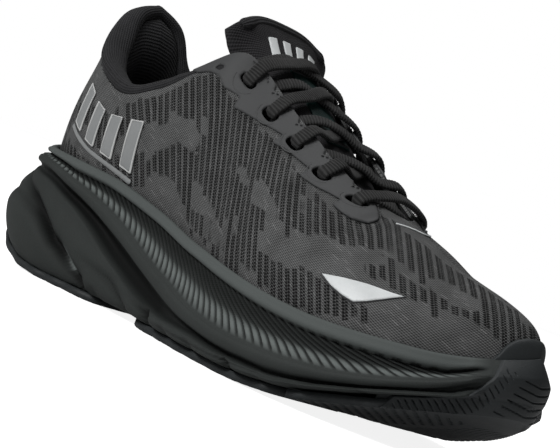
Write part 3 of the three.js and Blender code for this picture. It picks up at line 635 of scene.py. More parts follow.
def twill_cloth(name, dark, light, pitch=0.9, sheen=0.02, roughness=0.85, height=0.25):
    """Fine woven cloth in diagonal ribs."""
    f = Finish(name, roughness=roughness, sheen=sheen, specular=0.12)
    a, h, _ = f.axes()
    rib = (a + h).wave(pitch)
    fill = (a - h * 0.6).wave(pitch * 0.8)
    mottle = f.noise(140, 3)
    f.colour(f.mix(rib * 0.55 + fill * 0.2 + mottle * 0.4 - 0.1, dark, light))
    f.bump(rib * 0.6 + fill * 0.4, height)
    return f.material


def rib_knit(name, dark, light, pitch=1.5, sheen=0.03, height=0.4, loops=1.1):
    """Soft knit with fine lines that follow the collar's edge."""
    f = Finish(name, roughness=0.9, sheen=sheen, specular=0.1)
    a, h, _ = f.axes()
    line = h.wave(pitch)
    loop = (a + line * 0.4).wave(loops)
    fluff = f.noise(260, 4, roughness=0.65)
    f.colour(f.mix(line * 0.45 + loop * 0.25 + fluff * 0.55 - 0.2, dark, light))
    f.bump(line * 0.7 + loop * 0.3 + fluff * 0.3, height)
    return f.material


def foam_material(name, dark, light, roughness=0.72, painted_shading_on=False):
    """Moulded foam: a fine pebbled skin with faint clouding; with the stored shading on, valleys get
    painted shade and crests a painted highlight.
    """
    f = Finish(name, roughness=roughness, specular=0.12)
    pebble = f.noise(1900, 2)
    cloud = f.noise(35, 3)
    speck = f.noise(3600, 1).over(0.68, 0.05)
    skin = f.mix((pebble * 0.5 + cloud * 0.6 - 0.05).math("ADD", speck * 0.15, clamp=True), dark, light)
    if painted_shading_on:
        cavity = f.number("cavity")
        painted_highlight = (cavity * -1).math("MAXIMUM", 0.0)
        # Painted highlight: paler colour where the stored shading is below nought, on crests and the lip.
        skin = f.mix(painted_highlight, skin, tuple(3 * part for part in light))
        # Painted shade: darker colour where the stored shading is above nought, in valleys and under the
        # lip.
        skin = f.mix(cavity.math("MAXIMUM", 0.0) * 0.93, skin, tuple(0.1 * part for part in dark))
    f.colour(skin)
    f.rough(cloud * 0.12 + (roughness - 0.06))
    f.bump(pebble + speck * 0.3, 0.12)
    return f.material


def rubber_material(name, dark, light, roughness=0.6):
    f = Finish(name, roughness=roughness, specular=0.3)
    grain = f.noise(1400, 3)
    scuff = f.noise(60, 4, roughness=0.7)
    f.colour(f.mix(grain * 0.35 + scuff * 0.55, dark, light))
    f.rough(scuff * 0.25 + (roughness - 0.12))
    f.bump(grain, 0.07)
    return f.material


def film_material(name, dark, light, roughness=0.6, specular=0.22, grain_height=0.06):
    """Matte welded film with a faint pressed grain and soft creases."""
    f = Finish(name, roughness=roughness, specular=specular)
    grain = f.noise(1100, 2)
    crease = f.noise(75, 3, roughness=0.55)
    f.colour(f.mix(crease * 0.7 + grain * 0.25, dark, light))
    f.rough(crease * 0.2 + (roughness - 0.1))
    f.bump(grain * 0.5 + crease * 0.8, grain_height)
    return f.material


def reflective_material(name, dark, light):
    """Retroreflective print: fine glass-bead grain, a little mottled by use."""
    f = Finish(name, roughness=0.4, specular=0.4)
    bead = f.noise(2600, 1)
    wear = f.noise(70, 4, roughness=0.6)
    f.colour(f.mix(wear * 0.8 + bead * 0.2 - 0.05, dark, light))
    f.rough(wear * 0.2 + 0.3)
    f.bump(bead, 0.04)
    return f.material


def lace_material():
    f = Finish("ribbed_lace", roughness=0.85, sheen=0.04, specular=0.12)
    a, h, _ = f.axes()
    rib = a.wave(1.25)
    yarn = (h * 1.0 + a * 0.5).wave(0.62)
    fluff = f.noise(500, 3)
    f.colour(f.mix(rib * 0.5 + yarn * 0.25 + fluff * 0.4 - 0.15, grey(0.005), grey(0.046)))
    f.bump(rib * 0.7 + yarn * 0.3 + fluff * 0.2, 0.3)
    return f.material


KNIT = knit_material()
MIDSOLE = foam_material("midsole_foam", (0.016, 0.018, 0.017), (0.035, 0.039, 0.038), painted_shading_on=True)
RUBBER = rubber_material("outsole_rubber", (0.009, 0.0105, 0.011), (0.024, 0.028, 0.03))
STAY = film_material("eyestay_film", (0.03, 0.031, 0.032), (0.052, 0.053, 0.054), roughness=0.62)
TAB = film_material("heel_tab_film", (0.012, 0.0125, 0.013), (0.028, 0.029, 0.03))
LINING = rib_knit("collar_knit", (0.005, 0.005, 0.0055), (0.034, 0.034, 0.036))
BINDING = rib_knit("binding_knit", (0.008, 0.008, 0.0085), (0.034, 0.034, 0.036), pitch=1.1, height=0.3)
TONGUE_CLOTH = twill_cloth("tongue_cloth", (0.005, 0.005, 0.0055), (0.03, 0.029, 0.031), pitch=1.3)
LABEL = twill_cloth("label_satin", (0.004, 0.013, 0.012), (0.009, 0.026, 0.024), pitch=0.45, sheen=0.0,
                    roughness=0.45, height=0.06)
REFLECT = reflective_material("reflective_print", (0.36, 0.375, 0.38), (0.64, 0.66, 0.66))
MARK = reflective_material("heel_mark_print", (0.14, 0.146, 0.148), (0.24, 0.247, 0.248))
MARK_EDGE = reflective_material("heel_mark_edge", (0.32, 0.325, 0.322), (0.46, 0.462, 0.458))
THREAD = twill_cloth("stitch_thread", (0.02, 0.02, 0.021), (0.085, 0.086, 0.088), pitch=0.5)
LACE = lace_material()
AGLET = film_material("aglet_film", (0.008, 0.008, 0.009), (0.018, 0.018, 0.019), roughness=0.25,
                      specular=0.6)
PAD_FOAM = foam_material("padding_foam", (0.11, 0.11, 0.1), (0.24, 0.24, 0.225), roughness=0.95)
INSOLE_FOAM = foam_material("insole_foam", (0.05, 0.055, 0.06), (0.13, 0.14, 0.15), roughness=0.9)
INSOLE_CLOTH = twill_cloth("insole_cloth", (0.012, 0.013, 0.014), (0.045, 0.047, 0.05), pitch=1.4)
STIFFENER = foam_material("pressed_fibre", (0.2, 0.18, 0.15), (0.42, 0.39, 0.33), roughness=0.9)
BOARD = woven_by_place("lasting_board", (0.03, 0.03, 0.03), (0.075, 0.075, 0.072), 600)
BOOTIE = woven_by_place("bootie_membrane", (0.018, 0.019, 0.02), (0.05, 0.053, 0.056), 800)




# ---- camera: low, three-quarters toward the toe, rolled so that the heel is up -------------------
AZIMUTH, ELEVATION, ROLL = np.radians([45.85, 1.05, 21.0])
DISTANCE, LENS = 0.737, 118.9
LOOK_AT = (149, 0, 55)  # build frame, mm
FRAMING = (0.0037, 0.0011)  # how far the aim is moved right and up, in metres


def add_camera():
    target = Vector([(part + shift) * MM for part, shift in zip(LOOK_AT, SHIFT)])
    flat = np.cos(ELEVATION)
    back = Vector((np.sin(AZIMUTH) * flat, -np.cos(AZIMUTH) * flat, np.sin(ELEVATION)))
    level = (-back).cross(Vector((0, 0, 1))).normalized()
    rise = level.cross(-back)
    right = level * np.cos(ROLL) + rise * np.sin(ROLL)
    up = rise * np.cos(ROLL) - level * np.sin(ROLL)
    eye = target + back * DISTANCE
    aim = target + right * FRAMING[0] + up * FRAMING[1] - eye
    data = bpy.data.cameras.new("camera")
    data.lens, data.sensor_width = LENS, 36.0
    data.clip_start, data.clip_end = 0.05, 60
    camera = bpy.data.objects.new("camera", data)
    view_z = -aim.normalized()
    view_x = up.cross(view_z).normalized()
    axes = Matrix((view_x, view_z.cross(view_x), view_z)).transposed().to_4x4()
    camera.matrix_world = Matrix.Translation(eye) @ axes
    bpy.context.scene.collection.objects.link(camera)
    bpy.context.scene.camera = camera
    bpy.context.scene.view_settings.view_transform = "Standard"


add_camera()


# ---- midsole -------------------------------------------------------------------------------------
# Heights of the wall's parts along s: ribbed band, smooth ridge, groove, and the lower wall.
BAND_LOW = profile([(0, 50), (0.1, 49.5), (0.2, 47.5), (0.285, 43.1), (0.344, 38.4), (0.434, 28.5),
                    (0.503, 22.8), (0.593, 16.9), (0.65, 15.5), (0.7, 15.8), (0.769, 18.1), (0.811, 21.2),
                    (0.886, 29.8), (0.93, 36), (1, 43)])
RIDGE_LOW = profile([(0, 45), (0.1, 45.2), (0.195, 44.5), (0.25, 41.5), (0.312, 35.8), (0.369, 29.4),
                     (0.438, 21.8), (0.563, 12.1), (0.643, 9.8), (0.702, 10.2), (0.772, 13.9),
                     (0.812, 17.6), (0.853, 21.8), (0.889, 26.7), (0.924, 33), (1, 40)])
GROOVE_LOW = profile([(0, 42.5), (0.1, 42.5), (0.2, 40.2), (0.27, 34.2), (0.314, 28), (0.376, 18.3),
                      (0.425, 13), (0.478, 9.6), (0.52, 8.8), (0.566, 8.9), (0.646, 7.6), (0.702, 7.9),
                      (0.75, 10.6), (0.819, 16.2), (0.86, 20.3), (0.9, 26), (0.93, 31.5), (1, 38)])
GROOVE_DEPTH = profile([(0, 1.0), (0.12, 1.8), (0.22, 4), (0.32, 7.2), (0.44, 6.4), (0.52, 4),
                        (0.62, 3.4), (0.8, 3), (0.9, 1.8), (1, 1)])
LIP_HEIGHT = profile([(0, 4.6), (0.2, 4.8), (0.5, 5), (0.8, 6), (1, 6)])
LOWER_PROFILE = profile([(0, 7.5), (0.06, 5.2), (0.14, 3.4), (0.3, 1.6), (0.55, 0.5), (0.8, 0.9),
                         (0.94, 1.7), (1, 2.4)])
RIB_PITCH = 4.2


def crease(a, z, path, depth, width):
    """A V-shaped valley along a path of (mm along, height) points, deeper toward its lower end."""
    line = resample(np.array(path, float) * [SIDE_LENGTH, 1], 1.5, closed=False)
    points = np.stack([a.ravel(), z.ravel()], -1)
    out = np.zeros(len(points))
    first, last = line[:, 0].min() - 3 * width, line[:, 0].max() + 3 * width
    near = np.where((points[:, 0] > first) & (points[:, 0] < last))[0]
    for part in np.array_split(near, max(1, len(near) // 20000)):
        gap = np.linalg.norm(points[part, None] - line[None], axis=-1)
        k = gap.argmin(1)
        along = k / max(len(line) - 1, 1)
        fade = np.sin(np.clip(along * 1.25 + 0.08, 0, 1) * np.pi / 2) * np.clip((1.03 - along) * 12, 0, 1)
        out[part] = depth * fade * np.exp(-((gap.min(1) / width) ** 1.35))
    return out.reshape(a.shape)


CREASES = [
    # path of (s, z), depth, half width
    ([(0.115, 39.5), (0.148, 36.5), (0.178, 33.2), (0.203, 30.5), (0.234, 24.5), (0.262, 18), (0.278, 16),
      (0.305, 10.3), (0.326, 6.7), (0.335, 3)], 7.0, 3.0),
    ([(0.376, 23), (0.425, 17.5), (0.455, 13), (0.478, 8.7), (0.49, 3.2)], 5.6, 2.8),
    ([(0.315, 16), (0.35, 14.2), (0.384, 12.4), (0.415, 8), (0.437, 3.2)], 2.8, 2.8),
    ([(0.05, 36), (0.095, 32), (0.145, 30), (0.18, 28.3), (0.225, 24.6), (0.258, 19.5)], 2.4, 2.4),
    ([(0.21, 40), (0.26, 35), (0.3, 29.5), (0.34, 24.5), (0.38, 18.8), (0.41, 15.5)], 1.2, 3.4),
    ([(0.641, 9.6), (0.648, 7), (0.656, 3.4), (0.658, 0)], 4.2, 2.2),
    ([(0.8, 16.5), (0.815, 15.5), (0.83, 13), (0.842, 10)], 3.2, 1.8),
]
PAINTED_GLINT_PATH = [(0.283, 17.5), (0.29, 15.5), (0.3, 12.5), (0.31, 10)]  # a painted highlight deep in the heel's cleft
NOTCHES = [0.36, 0.53, 0.585, 0.7, 0.745]  # small cut-outs in the lower edge


class Wall:
    """The sculpted side wall in columns along s: each part gives heights, insets and painted shading.

    Insets are in mm from the sole's outline. The painted shading is 1, painted shade, deep in a valley,
    and -1, a painted highlight, on a pale crest.
    """

    def __init__(self, side, s):
        self.s, self.a = s, s * SIDE_LENGTH
        self.edge, self.out = outline(side, s, np.zeros_like(s))
        self.rim = rim_height(s)
        self.bottom = ground(self.edge[:, 0]) + 3.3
        self.groove = np.maximum(GROOVE_LOW(s), self.bottom + 2.0)
        self.ridge = np.maximum(RIDGE_LOW(s), self.groove + 1.0)
        self.band = np.maximum(BAND_LOW(s), self.ridge + 2.5)
        self.lip = np.maximum(self.rim - LIP_HEIGHT(s), self.band + 1.5)
        self.rim_share = self.share_at_rim(side)
        inner = off_upper(side, s, self.rim_share, np.full_like(s, 0.5))
        self.lip_inset = ((self.edge - inner) * self.out).sum(-1)
        reach = 8.5 + 3 * np.clip(1 - s / 0.16, 0, 1) + 2.5 * np.clip((s - 0.9) / 0.1, 0, 1)
        nearest = np.minimum(3.2 + self.tilt(self.band), self.lip_inset - 1.2)
        self.lean = np.maximum(np.minimum(self.lip_inset - 3.2, reach), nearest)
        self.shade = np.clip((s - 0.03) * 30, 0, 1) * np.clip((0.93 - s) * 22, 0, 1)

    def share_at_rim(self, side):
        """How far up the upper the midsole's rim meets it."""
        low, high = np.zeros_like(self.s), np.full_like(self.s, 0.5)
        for _ in range(18):
            middle = (low + high) / 2
            under = upper(side, self.s, middle)[:, 2] < self.rim - 1
            low, high = np.where(under, middle, low), np.where(under, high, middle)
        return low

    def tilt(self, z):
        """The heel's wall leans in toward its top."""
        heel = 13 * np.clip(1 - self.s / 0.26, 0, 1) ** 0.8
        return heel * np.clip((z - 24) / 26, 0, 1) ** 1.25

    def lower_part(self, t):
        z = self.bottom + (self.groove - self.bottom) * t
        inset = LOWER_PROFILE(t) + 1.6 * np.clip(1 - self.s / 0.3, 0, 1) * t**3 + self.tilt(z)
        return z, inset, 0 * self.s

    def groove_part(self, t):
        z = self.groove + (self.ridge - self.groove) * t
        inset = 2.2 + GROOVE_DEPTH(self.s) * np.sin(np.pi * t**0.7) ** 0.8 + self.tilt(z)
        # Painted shade: the groove's colour darkens toward its deepest part.
        painted_shading_level = np.clip(GROOVE_DEPTH(self.s) / 5, 0, 1) * np.minimum(1.3 * np.sin(np.pi * t**0.7), 1)
        return z, inset, painted_shading_level

    def ridge_part(self, t):
        z = self.ridge + (self.band - self.ridge) * t
        edge_line = 0.5 * np.exp(-(((t - 0.8) / 0.06) ** 2))
        swell = 0.7 + 1.2 * np.clip(self.s / 0.2, 0, 1)
        return z, 2.2 - swell * np.sin(np.pi * t) ** 0.6 + edge_line + self.tilt(z), 0 * self.s

    def band_part(self, t):
        """The concave band under the lip, with feathered ribs that bend with its curve; its colour gets
        painted shade in the rib grooves and over its upper half, and a painted highlight on the rib crests.
        """
        height = self.lip - self.band
        start = 2.2 + self.tilt(self.band)
        under = 1.9 * np.clip((t - 0.3) / 0.6, 0, 1) ** 2
        arch = 1.5 * np.sin(np.pi * np.clip(t * 1.1, 0, 1))
        inset = start + (self.lean - start) * t**1.2 + arch + under
        bend = inset - start + height * (0.8 * t + 0.9 * (t - 0.45 + np.hypot(t - 0.45, 0.08) - 0.08))
        line = np.abs(((self.a + bend) / RIB_PITCH) % 1 - 0.5) * 2
        feather = np.clip(1 - line / 0.42, 0, 1) ** 0.7 * self.shade * np.clip(t * 9, 0, 1)
        inset = inset + feather * (0.8 + 0.5 * np.clip((t - 0.35) * 3, 0, 1))
        # Painted shade in the rib grooves and over the upper half, under the lip's overhang.
        painted_shading_level = feather * 0.9 + 0.5 * np.clip((t - 0.35) / 0.4, 0, 1)
        # Painted highlight on the ribs' crests in the lower half.
        painted_highlight = (self.shade - feather) * np.sin(np.pi * np.clip(t / 0.55, 0, 1))
        return self.band + height * t, inset, painted_shading_level - painted_highlight

    def lip_part(self, t):
        z = self.lip + (self.rim - self.lip) * np.sin(t * np.pi / 2) ** 0.9
        bead = 0.8 * np.sin(np.clip(t * 2.2, 0, 1) * np.pi)
        rise_in = (self.lip_inset - 1.3 - self.lean) * t**3.2
        inset = self.lean + 1.9 * np.clip(1 - t * 9, 0, 1) - bead + rise_in
        # Painted highlight: the lip's colour is made paler, as if lit from above.
        return z, inset, 0 * self.s - 0.5 * min(1, 8 * t)

    def rows(self):
        """Heights, insets and painted shading of all parts, one column for each s."""
        found = []
        for part, count in ((self.lower_part, 34), (self.groove_part, 9), (self.ridge_part, 13),
                            (self.band_part, 34), (self.lip_part, 9)):
            shares = np.linspace(0, 1, count + 1)
            found += [part(t) for t in (shares if not found else shares[1:])]
        return (np.stack([np.broadcast_to(row[k], self.s.shape) for row in found], 1) for k in range(3))

    def carve(self, z, inset, painted_shading_level):
        """The lower wall's valleys, its notches and its ledge; the valleys' colour gets painted shade, and
        a paler streak in the heel's cleft is a painted highlight.
        """
        lower = np.clip(((self.groove + 1.5)[:, None] - z) / 3.0, 0, 1)
        a = np.repeat(self.a[:, None], z.shape[1], 1)
        for path, depth, width in CREASES:
            valley = crease(a, z, path, depth, width) * lower
            # Painted shade: each valley also darkens the colour.
            inset, painted_shading_level = inset + valley, painted_shading_level + (valley / 4.5) ** 1.5
        # Painted highlight: a paler streak deep in the heel's cleft.
        pale = np.clip(crease(a, z, PAINTED_GLINT_PATH, 2.0, 1.7), 0, 1)
        s, bottom = self.s[:, None], self.bottom[:, None]
        for at in NOTCHES:
            inset = inset + 1.8 * np.exp(-((s - at) / 0.009) ** 2) * np.clip((bottom + 4.5 - z) / 3, 0, 1)
        ledge = np.clip((s - 0.45) * 8, 0, 1) * np.clip((0.9 - s) * 8, 0, 1)
        return inset + ledge * 1.1 * np.exp(-((z - bottom - 2.2) / 0.8) ** 2), painted_shading_level * (1 - pale) - pale

    def smooth_front(self, z, inset, painted_shading_level):
        """The plain wall under the toe's rubber."""
        front = np.clip((self.s - 0.915) / 0.02, 0, 1)[:, None]
        share = (z - z[:, :1]) / (z[:, -1:] - z[:, :1])
        plain = np.interp(share, [0, 0.1, 0.25, 0.45, 0.7], [4.6, 3.9, 3.4, 3.3, 3.7])
        toward_rim = np.clip((share - 0.6) / 0.4, 0, 1) ** 1.3
        plain = plain + (self.lip_inset[:, None] - 0.9 - plain) * toward_rim
        return inset * (1 - front) + plain * front, painted_shading_level * (1 - front)


def midsole_wall(side, s):
    """The side wall's points, columns along s and rows from the underside up, and the painted shading of
    each.
    """
    wall = Wall(side, s)
    z, inset, painted_shading_level = wall.rows()
    inset, painted_shading_level = wall.carve(z, inset, painted_shading_level)
    inset, painted_shading_level = wall.smooth_front(z, inset, painted_shading_level)
    points = wall.edge[:, None] - wall.out[:, None] * inset[..., None]
    points[..., 2] = z
    top_in = off_upper(side, s, wall.rim_share, np.full_like(s, 0.5))
    tuck = off_upper(side, s, wall.rim_share * 0.9, np.full_like(s, 0.9))
    foot, _ = outline(side, s, last_inset(s) - 1.1)
    foot[:, 2] = footbed(foot[:, 0])
    points = np.concatenate([points, top_in[:, None], tuck[:, None], foot[:, None]], 1)
    return points, np.concatenate([painted_shading_level, np.zeros((len(s), 3))], 1)


def midsole():
    s = np.linspace(0, 1, 741)
    build = Build()
    walls, cavity = {}, []
    for side in (LATERAL, MEDIAL):
        walls[side], painted_shading_level = midsole_wall(side, s)
        build.grid(walls[side])
        cavity.append(painted_shading_level.ravel())
    t = np.linspace(0, 1, 9)[None, :, None]
    for k in (0, -1):
        build.grid(walls[LATERAL][:, k][:, None] * (1 - t) + walls[MEDIAL][:, k][:, None] * t)
        cavity.append(np.zeros(len(s) * 9))
    # Stored for the foam's colour: painted shade in valleys, painted highlight on crests and the lip.
    cavity = np.clip(np.concatenate(cavity), -1, 1)
    build.make("midsole_foam", MIDSOLE, slot="foam", replaces=["midsole"], merge=0.02, cavity=cavity)


midsole()


# ---- outsole -------------------------------------------------------------------------------------
HALF_WIDTH = {
    LATERAL: profile([(x, -y) for x, y in OUTLINE[LATERAL] if y <= 0]),
    MEDIAL: profile([(x, y) for x, y in OUTLINE[MEDIAL] if x < 296]),
}


def tread(x, y, fine_depth):
    """How far the rubber's underside is cut up, in mm: slanted bars with a rail down the middle."""
    slant = (x + np.abs(y) * 0.45) / 9.0
    bars = np.clip((np.abs((slant % 1) - 0.5) - 0.36) / 0.06, 0, 1)
    fine = np.clip((np.abs(((x - np.abs(y) * 0.45) / 3.0) % 1 - 0.5) - 0.4) / 0.08, 0, 1)
    return 1.5 * bars + fine_depth * fine


def pod(name, x0, x1, w0, w1):
    """A rubber pod from x0 to x1; w0 and w1 are its sides, from -1 lateral to 1 medial."""
    xs = np.linspace(x0, x1, int((x1 - x0) / 0.7))
    end = np.minimum(np.minimum((xs - x0) / 9, (x1 - xs) / 9), 1)
    trim = 8 * (1 - np.sqrt(1 - (1 - end) ** 2))
    wide = lambda w: HALF_WIDTH[LATERAL if w < 0 else MEDIAL](xs) - 6.6
    scallop = 0.7 * np.sin(xs / 4.2) ** 2
    y0 = w0 * wide(w0) + trim + (scallop if w0 == -1 else 0)
    y1 = w1 * wide(w1) - trim - (scallop if w1 == 1 else 0)
    t = np.linspace(0, 1, 56)
    y = y0[:, None] + (y1 - y0)[:, None] * t
    x = np.repeat(xs[:, None], len(t), 1)
    edge = np.minimum(np.minimum(t, 1 - t)[None] * (y1 - y0)[:, None], np.minimum(x - x0, x1 - x))
    bevel = 0.9 * np.clip(1 - edge / 1.2, 0, 1) ** 2
    low = ground(x) + np.where(edge > 1.0, tread(x, y, 0.35 if w0 < 0 else 0.25), 0) + bevel
    under = np.stack([x, y, low], -1)
    top = np.stack([x, y, ground(x) + 3.2], -1)
    build = Build()
    build.shell(top, under)
    build.make(name + "_rubber", RUBBER, slot="rubber", replaces=[name])


for pod_name, *pod_place in (
    ("outsole_heel_lateral", 17, 104, -1, -0.12), ("outsole_heel_medial", 22, 98, 0.16, 1),
    ("outsole_forefoot_lateral", 132, 232, -1, -0.2), ("outsole_forefoot_medial", 138, 236, 0.12, 1),
):
    pod(pod_name, *pod_place)


def wrap_edge(z):
    """Where the toe rubber begins on the side wall, as s, for a height."""
    heights, shares = zip((10, 0.83), (18, 0.845), (21, 0.872), (26.4, 0.913), (35.5, 0.935), (41.9, 0.943),
                          (48, 0.95))
    return np.interp(z, heights, shares)


def block_cuts(s, z, start):
    """How far the cuts between the toe's blocks go in, from 0 to 1; the spine stays smooth."""
    spine = np.interp(z, [14, 22, 28, 36.5, 46, 50], [0.925, 0.938, 0.953, 0.963, 0.983, 0.99])
    from_spine = (s[:, None] - spine) * SIDE_LENGTH
    upright = (s[:, None] * SIDE_LENGTH + z * 1.29) / 3.6
    across = (z + 0.1 * from_spine) / 2.7
    line = np.abs(np.where(from_spine < 0, upright, across) % 1 - 0.5) * 2
    cut = np.clip(1 - line / 0.2, 0, 1) * np.clip((np.abs(from_spine) - 2.0) / 0.6, 0, 1)
    below = np.where(from_spine < 0, z - z[:, :1] + 0.8, z - z[:, :1] - 0.8)
    room = np.minimum(below, np.minimum(40.5 - z, (s[:, None] - start - 0.008) * SIDE_LENGTH / 2))
    return cut * np.clip(room / 0.8, 0, 1)


def toe_side(build, side):
    """The rubber on one side of the toe, rounded down to the underside."""
    s = np.linspace(0.83, 1, 300)
    wall = midsole_wall(side, s)[0][:, :-3]
    out = outline(side, s, np.zeros_like(s))[1]
    foot = outline(side, s, np.full_like(s, 7.2))[0]
    foot[:, 2] = ground(foot[:, 0]) + 0.1
    turn = np.linspace(1, 0, 25)[:-1] * np.pi / 2
    share = np.stack([1 - np.cos(turn), 1 - np.cos(turn), np.sin(turn)], -1)
    wall = np.concatenate([wall[:, :1] + (foot - wall[:, 0])[:, None] * share, wall], 1)
    z = wall[..., 2]
    start = wrap_edge(z)
    show = 1.5 * np.clip((s[:, None] - start) / 0.004, 0, 1)
    outer = wall + out[:, None] * (1.1 * show - 0.8 - block_cuts(s, z, start))[..., None]
    build.shell(outer, wall - out[:, None] * 1.6)


def toe_plate(build):
    """The rubber under the toe, with slanted slots behind its front."""
    edges = []
    for side in (LATERAL, MEDIAL):
        s = np.linspace(0.6, 1, 400)
        s = np.linspace(np.interp(236, outline(side, s, np.zeros_like(s))[0][:, 0], s), 1, 110)
        edges.append(outline(side, s, np.full_like(s, 6.8))[0])
    t = np.linspace(0, 1, 90)[None, :, None]
    plate = edges[0][:, None] * (1 - t) + edges[1][:, None] * t
    x, from_spine = plate[..., 0], np.abs(plate[..., 1] - 6)
    line = np.abs(((x - 0.6 * from_spine) / 4) % 1 - 0.5)
    cut = np.clip(1 - line / 0.1, 0, 1) * np.clip(from_spine - 3, 0, 1) * np.clip((276 - x) / 2, 0, 1)
    plate[..., 2] = ground(x) + 1.2 * cut
    build.shell(plate + [0, 0, 3.2] - np.array([0, 0, 1.2]) * cut[..., None], plate)


def toe_wrap():
    """Rubber over the front of the foam: rows of cut blocks on each side of a smooth spine."""
    build = Build()
    for side in (LATERAL, MEDIAL):
        toe_side(build, side)
    toe_plate(build)
    build.make("toe_wrap_rubber", RUBBER, slot="rubber", replaces=["outsole_toe"])


toe_wrap()


# ---- knit upper ----------------------------------------------------------------------------------
SHELL_TOP = profile([(0, 0.965), (0.1, 0.93), (0.25, 0.91), (0.35, 0.91), (0.372, 1), (1, 1)])
EYELETS = [0.417 + 0.055 * k for k in range(5)]
EYELET_V = 0.86
SLOT_V = [0.86, 0.848, 0.848, 0.848, 0.848]  # the slots reach further down than the lace needs
SLOT_HALF = (4.3, 2.9)  # half the cut in the knit, along and up, in mm
HEEL_LOCK = 0.375
PATCHES = [
    # centre s and v, size in s and v, lean, strength
    (0.40, 0.66, 0.13, 0.13, 0.0, 0.95), (0.52, 0.64, 0.1, 0.12, 0.0, 0.8),
    (0.64, 0.55, 0.07, 0.1, 0, 0.8), (0.36, 0.3, 0.1, 0.13, 0.1, 0.75),
    (0.46, 0.42, 0.05, 0.16, -0.1, 0.8), (0.55, 0.36, 0.07, 0.12, 0.2, 0.7),
    (0.24, 0.55, 0.07, 0.14, 0.1, 0.8), (0.1, 0.45, 0.08, 0.25, 0.0, 0.7),
    (0.02, 0.6, 0.04, 0.3, 0.0, 0.6), (0.6, 0.15, 0.14, 0.11, 0.0, 0.85),
    (0.72, 0.16, 0.08, 0.1, 0.0, 0.85), (0.3, 0.75, 0.08, 0.08, 0, 0.7),
    (0.74, 0.72, 0.12, 0.17, 0.0, 0.95), (0.82, 0.46, 0.08, 0.07, 0.0, 0.8),
    (0.945, 0.5, 0.05, 0.3, 0.0, 1.15), (0.88, 0.8, 0.1, 0.12, 0.0, 0.75),
    (0.2, 0.2, 0.1, 0.08, 0.0, 0.6),
]


def figure(a, h, s, v):
    """Where the black columns show: above nought in soft-edged patches, arranged as on the shoe."""
    field = np.full(np.shape(a), -0.5)
    for s0, v0, ds, dv, lean, strength in PATCHES:
        across, up = ((s - s0) - lean * (v - v0)) / ds, (v - v0) / dv
        field = field + strength * np.exp(-(across**2 + up**2) ** 1.5)
    ripple = 0.3 * np.sin(a / 7.0 + 1.1 * np.sin(h / 8.0)) * np.cos(h / 4.2 + 0.9 * np.sin(a / 12.0))
    return field + ripple


# The columns lie in planes square to this line; COLUMN_VIEW is how far one mm along s moves along it.
COLUMN_LINE = np.array([0.65, 0.67, 0.36])
COLUMN_VIEW = profile([(0, 0.65), (0.75, 0.66), (0.95, 0.92), (1, 0.93)])


def knit_coordinates(side, s, v):
    """Column and course positions of the knit, in mm, from the sole up."""
    points = upper(side, s, v)
    flipped = points * [1, -side, 1]
    foot = upper(side, s, np.zeros_like(v)) * [1, -side, 1]
    columns = s * SIDE_LENGTH + (flipped - foot) @ COLUMN_LINE / COLUMN_VIEW(s)
    sole_s = np.linspace(0.3, 1, 200)
    sole = upper(LATERAL, sole_s, np.zeros(200)) @ COLUMN_LINE

    def forefoot(place):
        across = place @ COLUMN_LINE
        return np.interp(across, sole, sole_s * SIDE_LENGTH) + np.maximum(across - sole[-1], 0) / 0.93

    columns += (forefoot(flipped) - columns) * np.clip((s - 0.5) / 0.2, 0, 1)
    if side == MEDIAL:
        columns += (forefoot(points) - columns) * np.clip((s - 0.86) / 0.12, 0, 1)
    steps = np.linalg.norm(np.diff(points, axis=1), axis=-1)
    course = np.concatenate([np.zeros((len(points), 1)), np.cumsum(steps, 1)], 1)
    return np.stack([columns, course, np.full(s.shape, float(side))], -1)


def knit_upper():
    columns, rows = 400, 120
    build = Build()
    values = []
    for side in (LATERAL, MEDIAL):
        s = np.linspace(0, 1, columns + 1)[:, None]
        v = 0.03 + (SHELL_TOP(s) - 0.03) * np.linspace(0, 1, rows + 1)[None]
        s_grid = np.repeat(s, rows + 1, 1)
        surf = knit_coordinates(side, s_grid, v)
        soft = 0.22 * np.sin(surf[..., 0] / 13.0) * np.sin(surf[..., 1] / 9.0 + 1.0)
        soft = soft * np.clip((1 - v) * 8, 0, 1) * np.clip(s_grid * 20, 0, 1)
        soft = soft * np.clip((1 - s_grid) * 20, 0, 1)
        outer = off_upper(side, s_grid, v, soft - 0.1)
        inner = off_upper(side, s_grid, v, np.full_like(v, -1.1))
        build.grid(outer, surf)
        build.grid(inner, surf)
        edge = np.stack([outer[:, -1], inner[:, -1]], 1)
        build.grid(edge, np.stack([surf[:, -1]] * 2, 1))
        f = figure(surf[..., 0], surf[..., 1], s_grid, v)
        values += [f.ravel(), f.ravel(), np.stack([f[:, -1]] * 2, 1).ravel()]
    piece = build.make("knit_upper_cloth", KNIT, slot="knit", replaces=["knit_upper"],
                       figure=np.concatenate(values))
    cut_slots(piece)


def cut_slots(piece):
    """Opens the knit under each eyelet, where the film's smooth edge covers the cut."""
    mesh = piece.data
    co = np.zeros(len(mesh.vertices) * 3)
    mesh.vertices.foreach_get("co", co)
    co = co.reshape(-1, 3) / MM - SHIFT
    gone = np.zeros(len(co), bool)
    for side in (LATERAL, MEDIAL):
        for s, v in zip(EYELETS, SLOT_V):
            along = unit(upper(side, s + 0.005, v) - upper(side, s - 0.005, v))
            up = unit(upper(side, s, v + 0.01) - upper(side, s, v - 0.01))
            d = co - upper(side, s, v)
            near = np.linalg.norm(d, axis=1) < 8
            gone |= near & (np.abs(d @ along) < SLOT_HALF[0]) & (np.abs(d @ up) < SLOT_HALF[1])
    work = bmesh.new()
    work.from_mesh(mesh)
    work.verts.ensure_lookup_table()
    bmesh.ops.delete(work, geom=[work.verts[int(k)] for k in np.where(gone)[0]], context="VERTS")
    bmesh.ops.remove_doubles(work, verts=work.verts, dist=0.02 * MM)
    work.to_mesh(mesh)
    work.free()


knit_upper()


